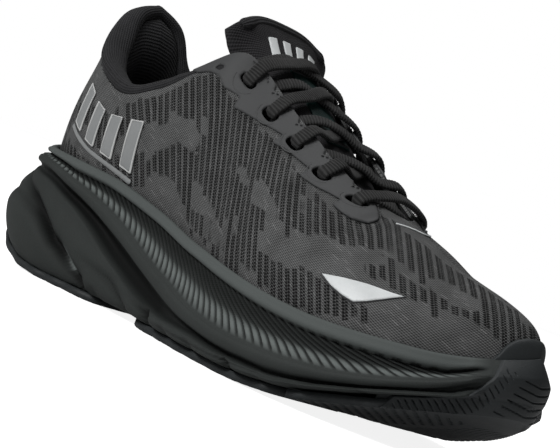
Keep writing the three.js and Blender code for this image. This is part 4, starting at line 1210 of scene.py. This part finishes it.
# ---- eyestays ------------------------------------------------------------------------------------
STAY_LOWER = [
    (0.330, 0.955), (0.345, 0.885), (0.372, 0.80), (0.400, 0.735), (0.426, 0.762), (0.430, 0.698),
    (0.452, 0.735), (0.480, 0.782), (0.508, 0.828), (0.509, 0.745), (0.530, 0.78), (0.550, 0.80),
    (0.568, 0.815), (0.570, 0.735), (0.597, 0.755), (0.612, 0.775), (0.629, 0.785), (0.630, 0.715),
    (0.648, 0.69), (0.664, 0.68), (0.676, 0.688), (0.683, 0.715), (0.682, 0.76), (0.674, 0.80),
    (0.666, 0.845),
]


def stay_outline():
    """The film's outline in (s, v): toothed below, and a rounded tab at each eyelet above."""
    top = []
    for s in EYELETS[::-1]:
        front = (s + 0.021, 0.992 if s < 0.6 else 0.955)
        top += [front, (s - 0.006, 0.997), (s - 0.020, 0.992), (s - 0.027, 0.955)]
    top = [(s, v) for s, v in top if s < 0.655]
    top[-1] = (0.392, 0.99)
    return np.array(STAY_LOWER + top + [(0.376, 0.975), (0.362, 0.955), (0.345, 0.958)])


def press_line(side, s):
    """The outline of the curved line pressed into the film round an eyelet."""
    arc = np.linspace(np.pi * 1.02, np.pi * 1.9, 24)
    outer = np.stack([6.4 * np.cos(arc), 5.6 * np.sin(arc)], -1)
    scale = local_scale(side, s, EYELET_V) * PLANE
    centre = np.array([s - 0.001, EYELET_V - 0.01]) * PLANE
    return np.concatenate([outer, outer[::-1] * 0.9]) * scale + centre


def eyestays():
    for side, word in ((LATERAL, "lateral"), (MEDIAL, "medial")):
        build = Build()
        shape = smooth_closed(resample(stay_outline() * PLANE, 0.9), 1)
        holes = [oval(side, s, v, 8.4, 5.4 if v < 0.86 else 4.3) for s, v in zip(EYELETS, SLOT_V)]
        holes.append(oval(side, HEEL_LOCK, EYELET_V - 0.02, 4.6, 2.2, turn=-0.5))
        patch(build, [shape] + holes, on_upper(side), 0.95, 0.12, step=0.9, rounding=0.45, bevel=0.4)
        build.make(f"eyestay_{word}_film", STAY, slot="overlay", replaces=[f"eyestay_{word}"])
        # A dark sheet behind the heel-lock hole, standing in for the shade seen through it.
        lock = Build()
        lock_shade_outline = oval(side, HEEL_LOCK, EYELET_V - 0.02, 6, 3.4, turn=-0.5)
        patch(lock, [lock_shade_outline], on_upper(side), 0.3, 0.05, step=0.6)
        lock.make(f"heel_lock_shade_sheet_{word}", AGLET, slot="lining")
        press = Build()
        for s in EYELETS:
            line = press_line(side, s)
            patch(press, [line], on_upper(side), 1.03, 0.9, step=0.6, rounding=0.06, bevel=0.2)
        press.make(f"eyelet_press_lines_{word}", STAY, slot="overlay")
        stitch_tabs(side, word)


def thread_bead(build, start, end, normal, radius=0.26):
    """One stitch: a short spindle of thread lying on the face."""
    axis = unit(end - start)
    across = np.cross(axis, normal)
    t = np.linspace(0, 1, 6)[:, None]
    centre = start + (end - start) * t + normal * 0.22 * np.sin(np.pi * t)
    size = radius * np.array([0.35, 0.85, 1, 1, 0.85, 0.35])[:, None]
    angle = circle(6)
    rings = sweep(centre, across[None], normal[None], size * np.cos(angle), size * np.sin(angle))
    build.tube(rings, rings - rings.mean((0, 1)))


def stitches(build, side, path, height, pitch=1.9, length=1.25):
    """A row of stitches along a (s, v) path on the upper."""
    dense = resample(np.array(path) * PLANE, 0.25, closed=False)
    points = off_upper(side, dense[:, 0] / PLANE[0], dense[:, 1] / PLANE[1], np.full(len(dense), height))
    normals = upper_normal(side, dense[:, 0] / PLANE[0], dense[:, 1] / PLANE[1])
    run = path_lengths(points)
    at = 0.4
    while at + length < run[-1]:
        start, end = stack_interp(np.array([at, at + length]), run, points)
        normal = stack_interp(np.array([at]), run, normals)[0]
        thread_bead(build, start, end, normal)
        at += pitch


def stitch_tabs(side, word):
    """Stitching round the throat side of each eyelet tab, and down the film's front."""
    build = Build()
    stitches(build, side, [(0.398, 0.965), (0.41, 0.968), (0.428, 0.965), (0.434, 0.94)], 1.1)
    for s in EYELETS[1:]:
        path = [(s - 0.026, 0.925), (s - 0.021, 0.962), (s - 0.012, 0.972), (s + 0.008, 0.97)]
        stitches(build, side, path, 1.1)
    front = [(0.648, 0.93), (0.662, 0.86), (0.68, 0.785), (0.694, 0.735), (0.697, 0.68)]
    stitches(build, side, front, 1.1)
    build.make(f"eyestay_stitching_{word}", THREAD, slot="overlay")


eyestays()


# ---- heel tab, heel marks, toe film, leaf and light line -----------------------------------------
def strip_round(path, heights, lift, under):
    """A strip on the upper: one column for each (side, s), and the texture's coordinates."""
    outer, inner, surf = [], [], []
    for side, s in path:
        v = heights(s)
        outer.append(off_upper(side, np.full_like(v, s), v, lift(s, v)))
        inner.append(off_upper(side, np.full_like(v, s), v, np.full_like(v, under)))
        surf.append(surf_coordinates(np.full_like(v, s), v, side))
    return np.array(outer), np.array(inner), np.array(surf)


TAB_HALF, TAB_LOW, TAB_HIGH = 0.028, 0.34, 0.94  # in s, and in v


def heel_tab():
    """A ribbed strip down the back of the heel."""
    def lift(s, v):
        ribbed = 1.15 - 0.55 * (s / TAB_HALF) ** 6 + 0.18 * np.cos(v * 150)
        return np.where((v < TAB_LOW + 0.015) | (v > TAB_HIGH - 0.01), 0.7, ribbed)

    heights = np.linspace(TAB_LOW, TAB_HIGH, 90)
    build = Build()
    build.shell(*strip_round(both_sides(TAB_HALF, 0, 11), lambda s: heights, lift, 0.15))
    build.make("heel_tab_strip", TAB, slot="overlay", replaces=["heel_tab"])


heel_tab()

MARK_LOW = profile([(0.165, 0.47), (0.35, 0.2)])
MARK_HIGH = profile([(0.15, 0.8), (0.35, 0.52)])
MARK_START, MARK_PITCH, MARK_LEAN = 0.178, 0.041, -0.016


def heel_bar(s):
    """The outline of one slanted bar that starts at s."""
    def corner(ds, t):
        low, high = MARK_LOW(s + ds), MARK_HIGH(s + ds + MARK_LEAN)
        return s + ds + MARK_LEAN * t, low + (high - low) * t
    corners = np.array([corner(0, 0), corner(0.024, 0), corner(0.024, 1), corner(0, 1)]) * PLANE
    return smooth_closed(resample(corners, 0.9), 1), corners.mean(0)


def heel_marks():
    """Four slanted bars in a row, each with a lighter printed border, over a thin foot line."""
    start, end = MARK_START - 0.004, MARK_START + MARK_PITCH * 4 - 0.013
    foot = [(s, MARK_LOW(s) - 0.055 + 0.03 * t) for s, t in ((start, 0), (end, 0), (end, 1), (start, 1))]
    for side, word in ((LATERAL, "lateral"), (MEDIAL, "medial")):
        body, edge = Build(), Build()
        for k in range(4):
            outer, centre = heel_bar(MARK_START + k * MARK_PITCH)
            inner = centre + (outer - centre) * [0.8, 0.93]
            patch(body, [inner], on_upper(side), 0.62, 0.15, step=1.0, rounding=0.12, bevel=0.25)
            patch(edge, [outer, inner], on_upper(side), 0.78, 0.15, step=0.7, rounding=0.2, bevel=0.15)
        strip = resample(np.array(foot) * PLANE, 1.5)
        patch(body, [strip], on_upper(side), 0.6, 0.15, step=1.2, rounding=0.15, bevel=0.2)
        body.make(f"heel_mark_bars_{word}", MARK, slot="reflective", replaces=[f"heel_mark_{word}"])
        edge.make(f"heel_mark_borders_{word}", MARK_EDGE, slot="reflective")


heel_marks()


def toe_film():
    """Rubber cap that carries on from the toe wrap, over the lip and up the front of the knit."""
    top = profile([(0.936, 0.10), (0.943, 0.16), (0.95, 0.26), (0.96, 0.34), (0.97, 0.385), (0.985, 0.43),
                   (1, 0.45)])
    t = np.linspace(0, 1, 44)
    swell = np.sqrt(np.clip(1 - t**10, 0, 1))
    build = Build()
    build.shell(*strip_round(both_sides(0.936, 1, 70), lambda s: 0.06 + (top(s) - 0.06) * t,
                             lambda s, v: 1.5 * swell * min(1, (s - 0.9355) / 0.004) ** 0.5 + 0.12, 0.05))
    build.make("toe_cap_rubber", RUBBER, slot="rubber", replaces=["toe_bumper_film"])


toe_film()


def leaf():
    """The plain reflective print on the forefoot, with a dark border."""
    shape = [(0.7075, 0.281), (0.735, 0.315), (0.766, 0.3475), (0.79, 0.366), (0.811, 0.3855),
             (0.792, 0.30), (0.778, 0.245), (0.765, 0.209), (0.748, 0.219), (0.728, 0.243)]
    outer = resample(np.array(shape) * PLANE, 0.8)
    centre = outer.mean(0)
    build = Build()
    patch(build, [outer], on_upper(LATERAL), 0.62, 0.12, step=0.9, rounding=0.2, bevel=0.3)
    build.make("forefoot_reflector_print", REFLECT, slot="reflective", replaces=["forefoot_reflector"])
    border = Build()
    wide = centre + (outer - centre) * [1.06, 1.1]
    patch(border, [wide, outer], on_upper(LATERAL), 0.5, 0.12, step=0.8, rounding=0.2, bevel=0.2)
    border.make("forefoot_reflector_edge", STAY, slot="overlay")


leaf()


def throat_line():
    """A thin light cord printed across the front of the throat."""
    build = Build()
    corners = [(0.6975, 0.8475), (0.712, 0.905), (0.725, 0.95), (0.732, 0.972), (0.735, 1.0)]
    path = resample(np.array(corners) * PLANE, 0.5, False)
    s, v = path[:, 0] / PLANE[0], np.minimum(path[:, 1] / PLANE[1], 1)
    angle = circle(8)
    for side in (LATERAL, MEDIAL):
        centre = off_upper(side, s, v, np.full_like(s, 0.25))
        normal = upper_normal(side, s, v)
        across = np.cross(unit(np.gradient(centre, axis=0)), normal)
        build.tube(sweep(centre, across, normal, 0.42 * np.cos(angle), 0.26 * np.sin(angle)))
    build.make("throat_light_line", REFLECT, slot="reflective")


throat_line()


# ---- collar --------------------------------------------------------------------------------------
COLLAR_END = 0.35


def collar_frames(count):
    """The collar edge's points, its outward and upward directions, its shares and lengths along it."""
    tops, outs, ups, shares = [], [], [], []
    for side, s in both_sides(COLLAR_END, 0, count):
        normal = upper_normal(side, s, 1.0)
        step = upper(side, s + 0.01, 1.0) - upper(side, max(s - 0.01, 0), 1.0)
        tops.append(upper(side, s, 1.0))
        outs.append(normal)
        ups.append(unit(np.cross(normal, step) * side))
        shares.append(s)
    tops = np.array(tops)
    return tops, np.array(outs), np.array(ups), np.array(shares), path_lengths(tops)


def collar_roll():
    """The soft rolled edge round the ankle opening, narrower at its front ends."""
    tops, outs, ups, shares, run = collar_frames(240)
    angle = circle(40)
    wide, high = rounded_corners(angle, 0.8, 0.85)
    crown = np.clip(np.sin(angle), 0, 1)
    taper = np.minimum(1, 0.5 + (COLLAR_END - shares) * 12)[:, None]
    ripple = 0.12 * np.sin(run / 3.1)[:, None] * crown + 0.18 * np.sin(run / 7.7 + 1)[:, None] * crown
    rings = sweep(tops, outs, ups, -5.0 + 5.9 * taper * wide, 0.4 + (3.5 * taper + ripple) * high)
    around = path_lengths(np.stack([wide * 5.9, high * 3.5], -1))
    surf = np.stack(np.broadcast_arrays(run[:, None], around[None], 0.0), -1)
    build = Build()
    build.tube(rings, surf)
    build.make("collar_roll", BINDING, slot="lining", replaces=["collar_binding"])


FOAM_LOW = profile([(0, 0.6), (0.3, 0.55), (0.36, 0.65)])
FOAM_TOP = profile([(0, 0.88), (0.12, 0.84), (0.22, 0.78), (0.345, 0.77)])
LINING_TOP = profile([(0, 0.96), (0.05, 0.94), (0.12, 0.9), (0.22, 0.86), (0.345, 0.83)])
LINING_LOW = profile([(0, 0.42), (0.3, 0.42), (0.36, 0.7)])


def collar_band(low, high, columns, rows, depth):
    """A band on both inner sides of the collar; depth(s, t) is how far inside the face it lies."""
    points, surf = [], []
    t = np.linspace(0, 1, rows)
    for side, s in both_sides(COLLAR_END, 0, columns):
        v = low(s) + (high(s) - low(s)) * t
        points.append(off_upper(side, np.full_like(v, s), v, depth(s, t)))
    points = np.array(points)
    along = path_lengths(points[:, rows // 2])
    surf = [np.stack(np.broadcast_arrays(run, path_lengths(column), 0.0), -1)
            for run, column in zip(along, points)]
    return points, np.array(surf)


def cushion(s, t):
    """How far the collar's padding stands out: fullest at the middle, drawn in at the ends."""
    ends = np.clip((COLLAR_END - s) / 0.05, 0, 1) ** 0.5
    heel = 1 + 0.35 * np.exp(-((s / 0.08) ** 2))
    return np.sin(np.pi * np.clip(t, 0, 1)) ** 0.6 * ends * heel


def collar_pads():
    """The collar's foam, and the knit lining over it."""
    pad_out, surf = collar_band(FOAM_LOW, FOAM_TOP, 90, 18, lambda s, t: np.full_like(t, -4.7))
    pad_in, _ = collar_band(FOAM_LOW, FOAM_TOP, 90, 18, lambda s, t: -6.0 - 3.6 * cushion(s, t))
    build = Build()
    build.shell(pad_out, pad_in, surf)
    pad = build.make("collar_pad", PAD_FOAM, slot="pad_foam", replaces=["collar_foam"])
    padded = lambda s, t: -3.0 * cushion(s, t * 1.05 - 0.05)
    face, surf = collar_band(LINING_LOW, LINING_TOP, 150, 44, lambda s, t: padded(s, t) - 9.0)
    behind, _ = collar_band(LINING_LOW, LINING_TOP, 150, 44, lambda s, t: padded(s, t) - 8.0)
    build = Build()
    build.shell(face, behind, surf)
    build.make("collar_lining_knit", LINING, slot="lining", replaces=["collar_lining"])


collar_roll()
collar_pads()


# ---- tongue --------------------------------------------------------------------------------------
TONGUE = [
    # x, z, half width, edge drop
    (221, 65.5, 15, 6), (212, 69, 17, 8), (200, 74.5, 19, 10), (185, 82.8, 21, 11),
    (170, 91.5, 23, 12), (155, 101, 23, 15), (141, 110.4, 23, 16), (130, 118, 22.5, 16),
    (121, 125.6, 25.9, 14.4), (115.5, 130.5, 30.5, 7.5), (113.5, 133, 21, 3.5),
]
TONGUE_Y, TONGUE_ARCH = 1.2, 3.3  # its middle line, and the power of its arch across
TONGUE_HALF, TONGUE_LENGTH = 24, 128  # mm for one unit of w and of t
tongue_rows = [profile([(i / (len(TONGUE) - 1), row[k]) for i, row in enumerate(TONGUE)])
               for k in range(4)]


def tongue_point(t, w, d=0.0):
    """A point of the tongue: t from base to top, w from -1 to 1 across, d mm above its face."""
    def face(t, w):
        x, z, half, drop = (f(t) for f in tongue_rows)
        return np.stack([x, TONGUE_Y + w * half, z - drop * np.abs(w) ** TONGUE_ARCH], -1)
    t, w, d = np.broadcast_arrays(np.asarray(t, float), np.asarray(w, float), np.asarray(d, float))
    e = 0.01
    along = face(np.minimum(t + e, 1), w) - face(np.maximum(t - e, 0), w)
    across = face(t, np.minimum(w + e, 1)) - face(t, np.maximum(w - e, -1))
    normal = np.cross(across, along)
    normal /= np.linalg.norm(normal, axis=-1)[..., None]
    normal = np.where(normal[..., 2:3] < 0, -normal, normal)
    return face(t, w) + normal * d[..., None]


def tongue_grid(t, w):
    """t down the rows and w across the columns, with the texture's coordinates."""
    t, w = np.broadcast_arrays(t, w)
    return t, w, np.stack([w * TONGUE_HALF, t * TONGUE_LENGTH, np.zeros(t.shape)], -1)


def tongue_crown(t, w):
    """How far the padding lifts the face."""
    near_top = np.clip((t - 0.8) / 0.2, 0, 1)
    edge = 1 - np.abs(w) ** 6
    return 0.5 * edge * np.sin(np.pi * t) ** 0.5 + 0.7 * near_top * np.sin(np.pi * near_top) * edge


def tongue_face():
    """The padded cloth face, rounded down at its sides and its top."""
    t, w, surf = tongue_grid(np.linspace(0, 1, 150)[:, None], np.linspace(-1, 1, 70)[None])
    near_top = np.clip((t - 0.8) / 0.2, 0, 1)
    edge = 1 - np.abs(w) ** 6
    wrinkle = 0.16 * np.sin(t * TONGUE_LENGTH / 3.4 + 1.5 * np.cos(w * 2)) * (1 - near_top) * edge
    past_side = np.clip((np.abs(w) - 0.86) / 0.14, 0, 1)
    past_top = np.clip((t - 0.965) / 0.035, 0, 1)
    rounding = 1 - np.sqrt(1 - np.clip(past_side**2 + past_top**2, 0, 0.998))
    outer = tongue_crown(t, w) + wrinkle - 4.4 * rounding * (0.3 + 0.7 * near_top)
    build = Build()
    build.shell(tongue_point(t, w, outer), tongue_point(t, w * 0.97, outer - 1.0), surf)
    build.make("tongue_face", TONGUE_CLOTH, body="tongue", slot="tongue", replaces=["tongue_shell"])


def tongue_pad():
    """The foam inside, with rounded edges."""
    t = np.linspace(0.03, 0.955, 90)[:, None]
    w = np.linspace(-0.86, 0.86, 40)[None] * (1 - 0.22 * np.clip((t - 0.75) / 0.2, 0, 1))
    t, w, surf = tongue_grid(t, w)
    side_edge = np.sqrt(np.clip(1 - (np.abs(w) / 0.865) ** 6, 0, 1))
    swell = side_edge * np.sqrt(np.clip(1 - (np.abs(t - 0.49) / 0.47) ** 14, 0, 1))
    build = Build()
    build.shell(tongue_point(t, w, -3.5 + 1.9 * swell), tongue_point(t, w, -3.6 - 1.8 * swell), surf)
    pad = build.make("tongue_pad", PAD_FOAM, body="tongue", slot="pad_foam", replaces=["tongue_foam"])


def tongue_lining():
    """The quilted lining next to the foot."""
    t = np.linspace(0.01, 0.985, 120)[:, None]
    w = np.linspace(-0.96, 0.96, 56)[None] * (1 - 0.09 * np.clip((t - 0.85) / 0.1, 0, 1))
    t, w, surf = tongue_grid(t, w)
    quilt = 0.25 * np.sin(t * 40) ** 2
    depth = -6.4 - quilt + 1.2 * np.abs(w) ** 8 + 1.6 * np.clip((t - 0.94) / 0.05, 0, 1) ** 2
    build = Build()
    build.shell(tongue_point(t, w, depth + 0.8), tongue_point(t, w, depth), surf)
    build.make("tongue_lining_knit", LINING, body="tongue", slot="lining", replaces=["tongue_lining"])


def tongue_roll():
    """The padded lining rolled over the tongue's top edge."""
    w = np.linspace(-0.97, 0.97, 120)
    centre = tongue_point(0.972 - 0.02 * np.abs(w) ** 2.2, w, -2.2)
    tangent = unit(np.gradient(centre, axis=0))
    lift = np.array([-0.35, 0, 0.94])
    upward = unit(lift - tangent * (tangent @ lift)[:, None])
    size = (3.3 * np.clip((1 - np.abs(w)) / 0.12, 0.15, 1) ** 0.5)[:, None]
    angle = circle(24)
    rings = sweep(centre, np.cross(tangent, upward), upward, size * np.cos(angle), size * np.sin(angle))
    surf = np.stack(np.broadcast_arrays(path_lengths(centre)[:, None], angle[None] * 3.3, 0.0), -1)
    build = Build()
    build.tube(rings, surf)
    build.make("tongue_top_roll", LINING, body="tongue", slot="lining")


def on_tongue(a, h, d):
    """The place function of patches on the tongue, in the plane of its texture."""
    w, t = a / TONGUE_HALF, h / TONGUE_LENGTH
    return tongue_point(t, w, tongue_crown(t, w) + d)


def box_on_tongue(w0, w1, t0, t1, slant=0.0):
    """The outline of a box; slant moves its upper side along w."""
    corners = [(w0, t0), (w1, t0), (w1 + slant, t1), (w0 + slant, t1)]
    return np.array(corners) * [TONGUE_HALF, TONGUE_LENGTH]


def tongue_trims():
    """A blank satin label with light woven ends, and the four generic bars above it."""
    build = Build()
    label = smooth_closed(resample(box_on_tongue(-0.3, 0.3, 0.42, 0.68), 1.0), 2)
    patch(build, [label], on_tongue, 0.75, 0.2, step=1.2, rounding=0.2, bevel=0.3)
    build.make("tongue_label_satin", LABEL, body="tongue", slot="label", replaces=["tongue_label"])
    build = Build()
    for t in (0.43, 0.672):
        end = resample(box_on_tongue(-0.29, 0.29, t - 0.006, t + 0.006), 0.6)
        patch(build, [end], on_tongue, 0.95, 0.6, step=0.6, rounding=0.1, bevel=0.15)
    build.make("tongue_label_ends", THREAD, body="tongue", slot="label")
    build = Build()
    for k in range(4):
        w = -0.55 + k * 0.3
        bar = smooth_closed(resample(box_on_tongue(w, w + 0.17, 0.735, 0.82, slant=0.08), 0.6), 1)
        patch(build, [bar], on_tongue, 0.55, 0.15, step=0.7, rounding=0.12, bevel=0.2)
    build.make("tongue_bar_print", REFLECT, body="tongue", slot="reflective", replaces=["tongue_bars"])


tongue_face()
tongue_pad()
tongue_lining()
tongue_roll()
tongue_trims()


# ---- lace ----------------------------------------------------------------------------------------
tongue_by_x = [profile([(row[0], row[k]) for row in TONGUE][::-1]) for k in (1, 2, 3)]
STRAND_FACE = np.array([0.5, 0, 0.87])
LACE_OVER, LACE_UNDER, CROSSING_Y = 2.3, -3.3, 8
CROSSING_LOW, CROSSING_HIGH = (3.2, 2.5, 2.5), (4.6, 4.9, 3.4)
LATERAL_ON_TOP = (False, False, False, True)
TIP_SHARE, TIP_GAP = 0.024, 0.0006  # each tip's share of the lace, and the gap before the cord
RIB_SPACING = 1.3
# The ends' way from the top eyelet down the inside of the upper: change in s, v, depth.
TUCK = [(-0.016, 0.985, -3.7), (-0.015, 0.92, -3.5), (-0.014, 0.82, -3.1), (-0.006, 0.69, -5.3),
        (0.012, 0.57, -5.7), (0.045, 0.47, -5.9), (0.08, 0.43, -6), (0.115, 0.42, -6), (0.15, 0.42, -6)]


class LaceRoute:
    """Route points of the lace, as (position, facing); sign is 1 while its outer side faces out."""

    def __init__(self, side):
        self.points, self.side, self.sign = [], side, 1

    def lay(self, s, v, d):
        """Along the upper, d mm off its face."""
        facing = upper_normal(self.side, s, v) * self.sign
        self.points.append((off_upper(self.side, s, v, d), facing))

    def through(self, s, direction):
        """Through an eyelet, outward for direction 1; the lace turns over."""
        to_edge = unit(upper(self.side, s, EYELET_V + 0.02) - upper(self.side, s, EYELET_V))
        for d in ((-1, 1.2) if direction > 0 else (1.2, -1)):
            self.points.append((off_upper(self.side, s, EYELET_V, d), to_edge * self.sign * direction))
        self.sign = -self.sign

    def cross(self, s0, s1, lifts):
        """Over the tongue from one row to the next, and on to the other side."""
        x0, x1 = section[0](s0), section[0](s1)
        for k, lift in enumerate(lifts):
            y = self.side * CROSSING_Y * (1 - k)
            x = x0 + (x1 - x0) * (0.3 + 0.2 * k)
            z, half, drop = (f(x) for f in tongue_by_x)
            place = np.array([x, TONGUE_Y + y, z - drop * abs(y / half) ** TONGUE_ARCH])
            self.points.append((place + STRAND_FACE * lift, STRAND_FACE * self.sign))
        self.side = -self.side


def lace_half(first):
    """One half of the lace's route, from the bottom bar to its end; first is the side it starts on."""
    route = LaceRoute(first)
    rows = EYELETS[::-1]
    route.lay(rows[0], 0.995, LACE_OVER + 0.4)
    route.lay(rows[0], 0.9, LACE_OVER)
    route.through(rows[0], -1)
    route.lay(rows[0] - 0.002, 0.9, LACE_UNDER)
    route.lay(rows[0] - 0.01, 0.985, LACE_UNDER)
    for below, row, lateral_high in zip(rows, rows[1:], LATERAL_ON_TOP):
        high = (route.side == LATERAL) == lateral_high
        route.cross(below, row, CROSSING_HIGH if high else CROSSING_LOW)
        route.lay(row + 0.012, 0.985, LACE_UNDER)
        route.lay(row + 0.003, 0.9, LACE_UNDER)
        route.through(row, 1)
        route.lay(row, 0.9, LACE_OVER)
        route.lay(row - 0.005, 0.99, LACE_OVER + 0.3)
    top = rows[-1]
    route.cross(top, top - 0.03, CROSSING_HIGH if route.side == LATERAL else CROSSING_LOW)
    for ds, v, d in TUCK:
        route.lay(top + ds, v, d)
    return route.points


def ribbon(route, shares, size, step, rib):
    """A flat band along part of the route, with ribs across it; size is its width and thickness."""
    curve, run = catmull([p[0] for p in route], False, 16001, 0.25)
    faces, _ = catmull([p[1] for p in route], False, 16001, 0)
    at = np.arange(shares[0] * run[-1], shares[1] * run[-1], step)
    centre = stack_interp(at, run, curve)
    tangent = unit(np.gradient(centre, axis=0))
    face = stack_interp(at, run, faces)
    face = unit(face - tangent * (face * tangent).sum(1)[:, None])
    angle = circle(20)
    wide, thick = rounded_corners(angle, 0.55, 0.75)
    wide, thick = wide * size[0] / 2, thick * size[1] / 2
    phase = at * 2 * np.pi / RIB_SPACING
    ends = np.minimum(1, 0.72 + np.minimum(at - at[0], at[-1] - at) * 0.5)
    swell = rib * (0.5 + 0.5 * np.sin(phase))[:, None] - rib * 0.4
    x = (ends - rib * 0.06 * np.cos(phase))[:, None] * wide
    y = thick * ends[:, None] + rounded_corners(angle, 1, 0.5)[1] * swell
    build = Build()
    surf = np.stack(np.broadcast_arrays(at[:, None], wide[None], 0.0), -1)
    build.tube(sweep(centre, np.cross(tangent, face), face, x, y), surf)
    return build


def lace():
    """One flat ribbed lace and its two moulded tips."""
    left, other = lace_half(LATERAL), lace_half(MEDIAL)
    bar = (left[0][0] + other[0][0]) / 2 + np.array([0, 0, 2])
    route = left[::-1] + [(bar, np.array([0.4, 0, 0.92]))] + other
    cord = ribbon(route, (TIP_SHARE + TIP_GAP, 1 - TIP_SHARE - TIP_GAP), (5.9, 2.05), 0.33, 0.2)
    cord.make("lace_cord", LACE, slot="lace", replaces=["lace"])
    for word, shares in (("lateral", (0.0, TIP_SHARE)), ("medial", (1 - TIP_SHARE, 1.0))):
        tip = ribbon(route, shares, (4.0, 3.0), 0.8, 0)
        tip.make(f"aglet_tip_{word}", AGLET, slot="aglet", replaces=[f"aglet_{word}"])


lace()


# ---- insole --------------------------------------------------------------------------------------
def bed_grid(inset, lift, cup, grow):
    """A layer on the footbed, dished at the heel, with its surface lift mm up."""
    s = np.linspace(0, 1, 160)
    edge = {side: outline(side, s, last_inset(s) + inset)[0] for side in (LATERAL, MEDIAL)}
    t = np.linspace(0, 1, 61)[None, :, None]
    grid = edge[LATERAL][:, None] * (1 - t) + edge[MEDIAL][:, None] * t
    across = np.abs(np.linspace(-1, 1, 61))[None]
    heel = np.clip((140 - grid[..., 0]) / 90, 0, 1)
    rim = cup * np.clip((across - 0.7) / 0.3, 0, 1) ** 2 * heel
    rounded = grow * np.sqrt(np.clip(1 - across**16, 0, 1))
    grid[..., 2] = footbed(grid[..., 0]) + lift + rim + rounded
    return grid


def insole():
    """The sockliner's foam, and its cloth."""
    build = Build()
    build.shell(bed_grid(7, 4.6, 1.2, 1.9), bed_grid(7, 3.1, 1.2, 0))
    pad = build.make("insole", INSOLE_FOAM, body="sockliner", slot="insole_foam", replaces=["sockliner"])
    build = Build()
    build.shell(bed_grid(7, 7.4, 1.2, 0.4), bed_grid(7, 7.1, 1.2, 0))
    build.make("insole_top_cloth", INSOLE_CLOTH, body="sockliner", slot="lining",
               replaces=["sockliner_cloth"])


insole()


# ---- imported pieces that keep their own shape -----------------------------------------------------
KEPT = {
    "strobel_board": BOARD,
    "waterproof_bootie": BOOTIE,
    "heel_counter": STIFFENER,
    "toe_puff": STIFFENER,
}
for kept_name, kept_material in KEPT.items():
    kept_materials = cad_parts[kept_name].data.materials
    kept_materials.clear()
    kept_materials.append(kept_material)


# ---- floor, backdrop and light -------------------------------------------------------------------
def add_floor():
    """A pale round floor, lit evenly so that only soft shadows show on it."""
    mesh = bpy.data.meshes.new("floor")
    steps, radii = 96, [0.3, 0.7, 1.3, 2.2, 3.4]
    points = [(0.0, 0.0, 0.0)]
    for radius in radii:
        points += [(radius * float(np.cos(a)), radius * float(np.sin(a)), 0.0) for a in circle(steps)]
    faces = [(0, 1 + k, 1 + (k + 1) % steps) for k in range(steps)]
    for r in range(len(radii) - 1):
        for k in range(steps):
            a, b = 1 + r * steps + k, 1 + r * steps + (k + 1) % steps
            faces.append((a, a + steps, b + steps, b))
    mesh.from_pydata(points, [], faces)
    floor = bpy.data.objects.new("floor", mesh)
    bpy.context.scene.collection.objects.link(floor)
    paint = Finish("pale_floor", roughness=0.95, specular=0.0)
    shade = paint.mix(paint.noise(3, 2), (0.58, 0.58, 0.58), (0.6, 0.6, 0.6))
    paint.colour(shade)
    paint.tree.links.new(shade, paint.shader.inputs["Emission Color"])
    path = paint.tree.nodes.new("ShaderNodeLightPath")
    seen = Field(paint.tree, path.outputs["Is Camera Ray"]) * 1.32 + 0.15
    paint.tree.links.new(seen.socket, paint.shader.inputs["Emission Strength"])
    mesh.materials.append(paint.material)


def add_surround():
    """A white surround, dimmer as a light than it looks."""
    world = bpy.data.worlds.new("studio")
    world.use_nodes = True
    tree = world.node_tree
    glow, white = tree.nodes["Background"], tree.nodes.new("ShaderNodeBackground")
    for background, strength in ((glow, 0.12), (white, 1.0)):
        background.inputs[0].default_value, background.inputs[1].default_value = (1, 1, 1, 1), strength
    choose, path = tree.nodes.new("ShaderNodeMixShader"), tree.nodes.new("ShaderNodeLightPath")
    tree.links.new(path.outputs["Is Camera Ray"], choose.inputs[0])
    tree.links.new(glow.outputs[0], choose.inputs[1])
    tree.links.new(white.outputs[0], choose.inputs[2])
    tree.links.new(choose.outputs[0], tree.nodes["World Output"].inputs[0])
    bpy.context.scene.world = world


def area_light(name, place, look_at, size, energy):
    light = bpy.data.lights.new(name, "AREA")
    light.shape, light.size, light.energy = "DISK", size, energy
    lamp = bpy.data.objects.new(name, light)
    turn = (Vector(look_at) - Vector(place)).to_track_quat("-Z", "Y")
    lamp.matrix_world = Matrix.Translation(place) @ turn.to_matrix().to_4x4()
    bpy.context.scene.collection.objects.link(lamp)


add_floor()
add_surround()
area_light("overhead", (-0.2, 0.0, 2.4), (0, 0, 0), 1.6, 30)
area_light("key", (-0.1, -1.7, 1.0), (0, 0, 0.05), 0.5, 31)
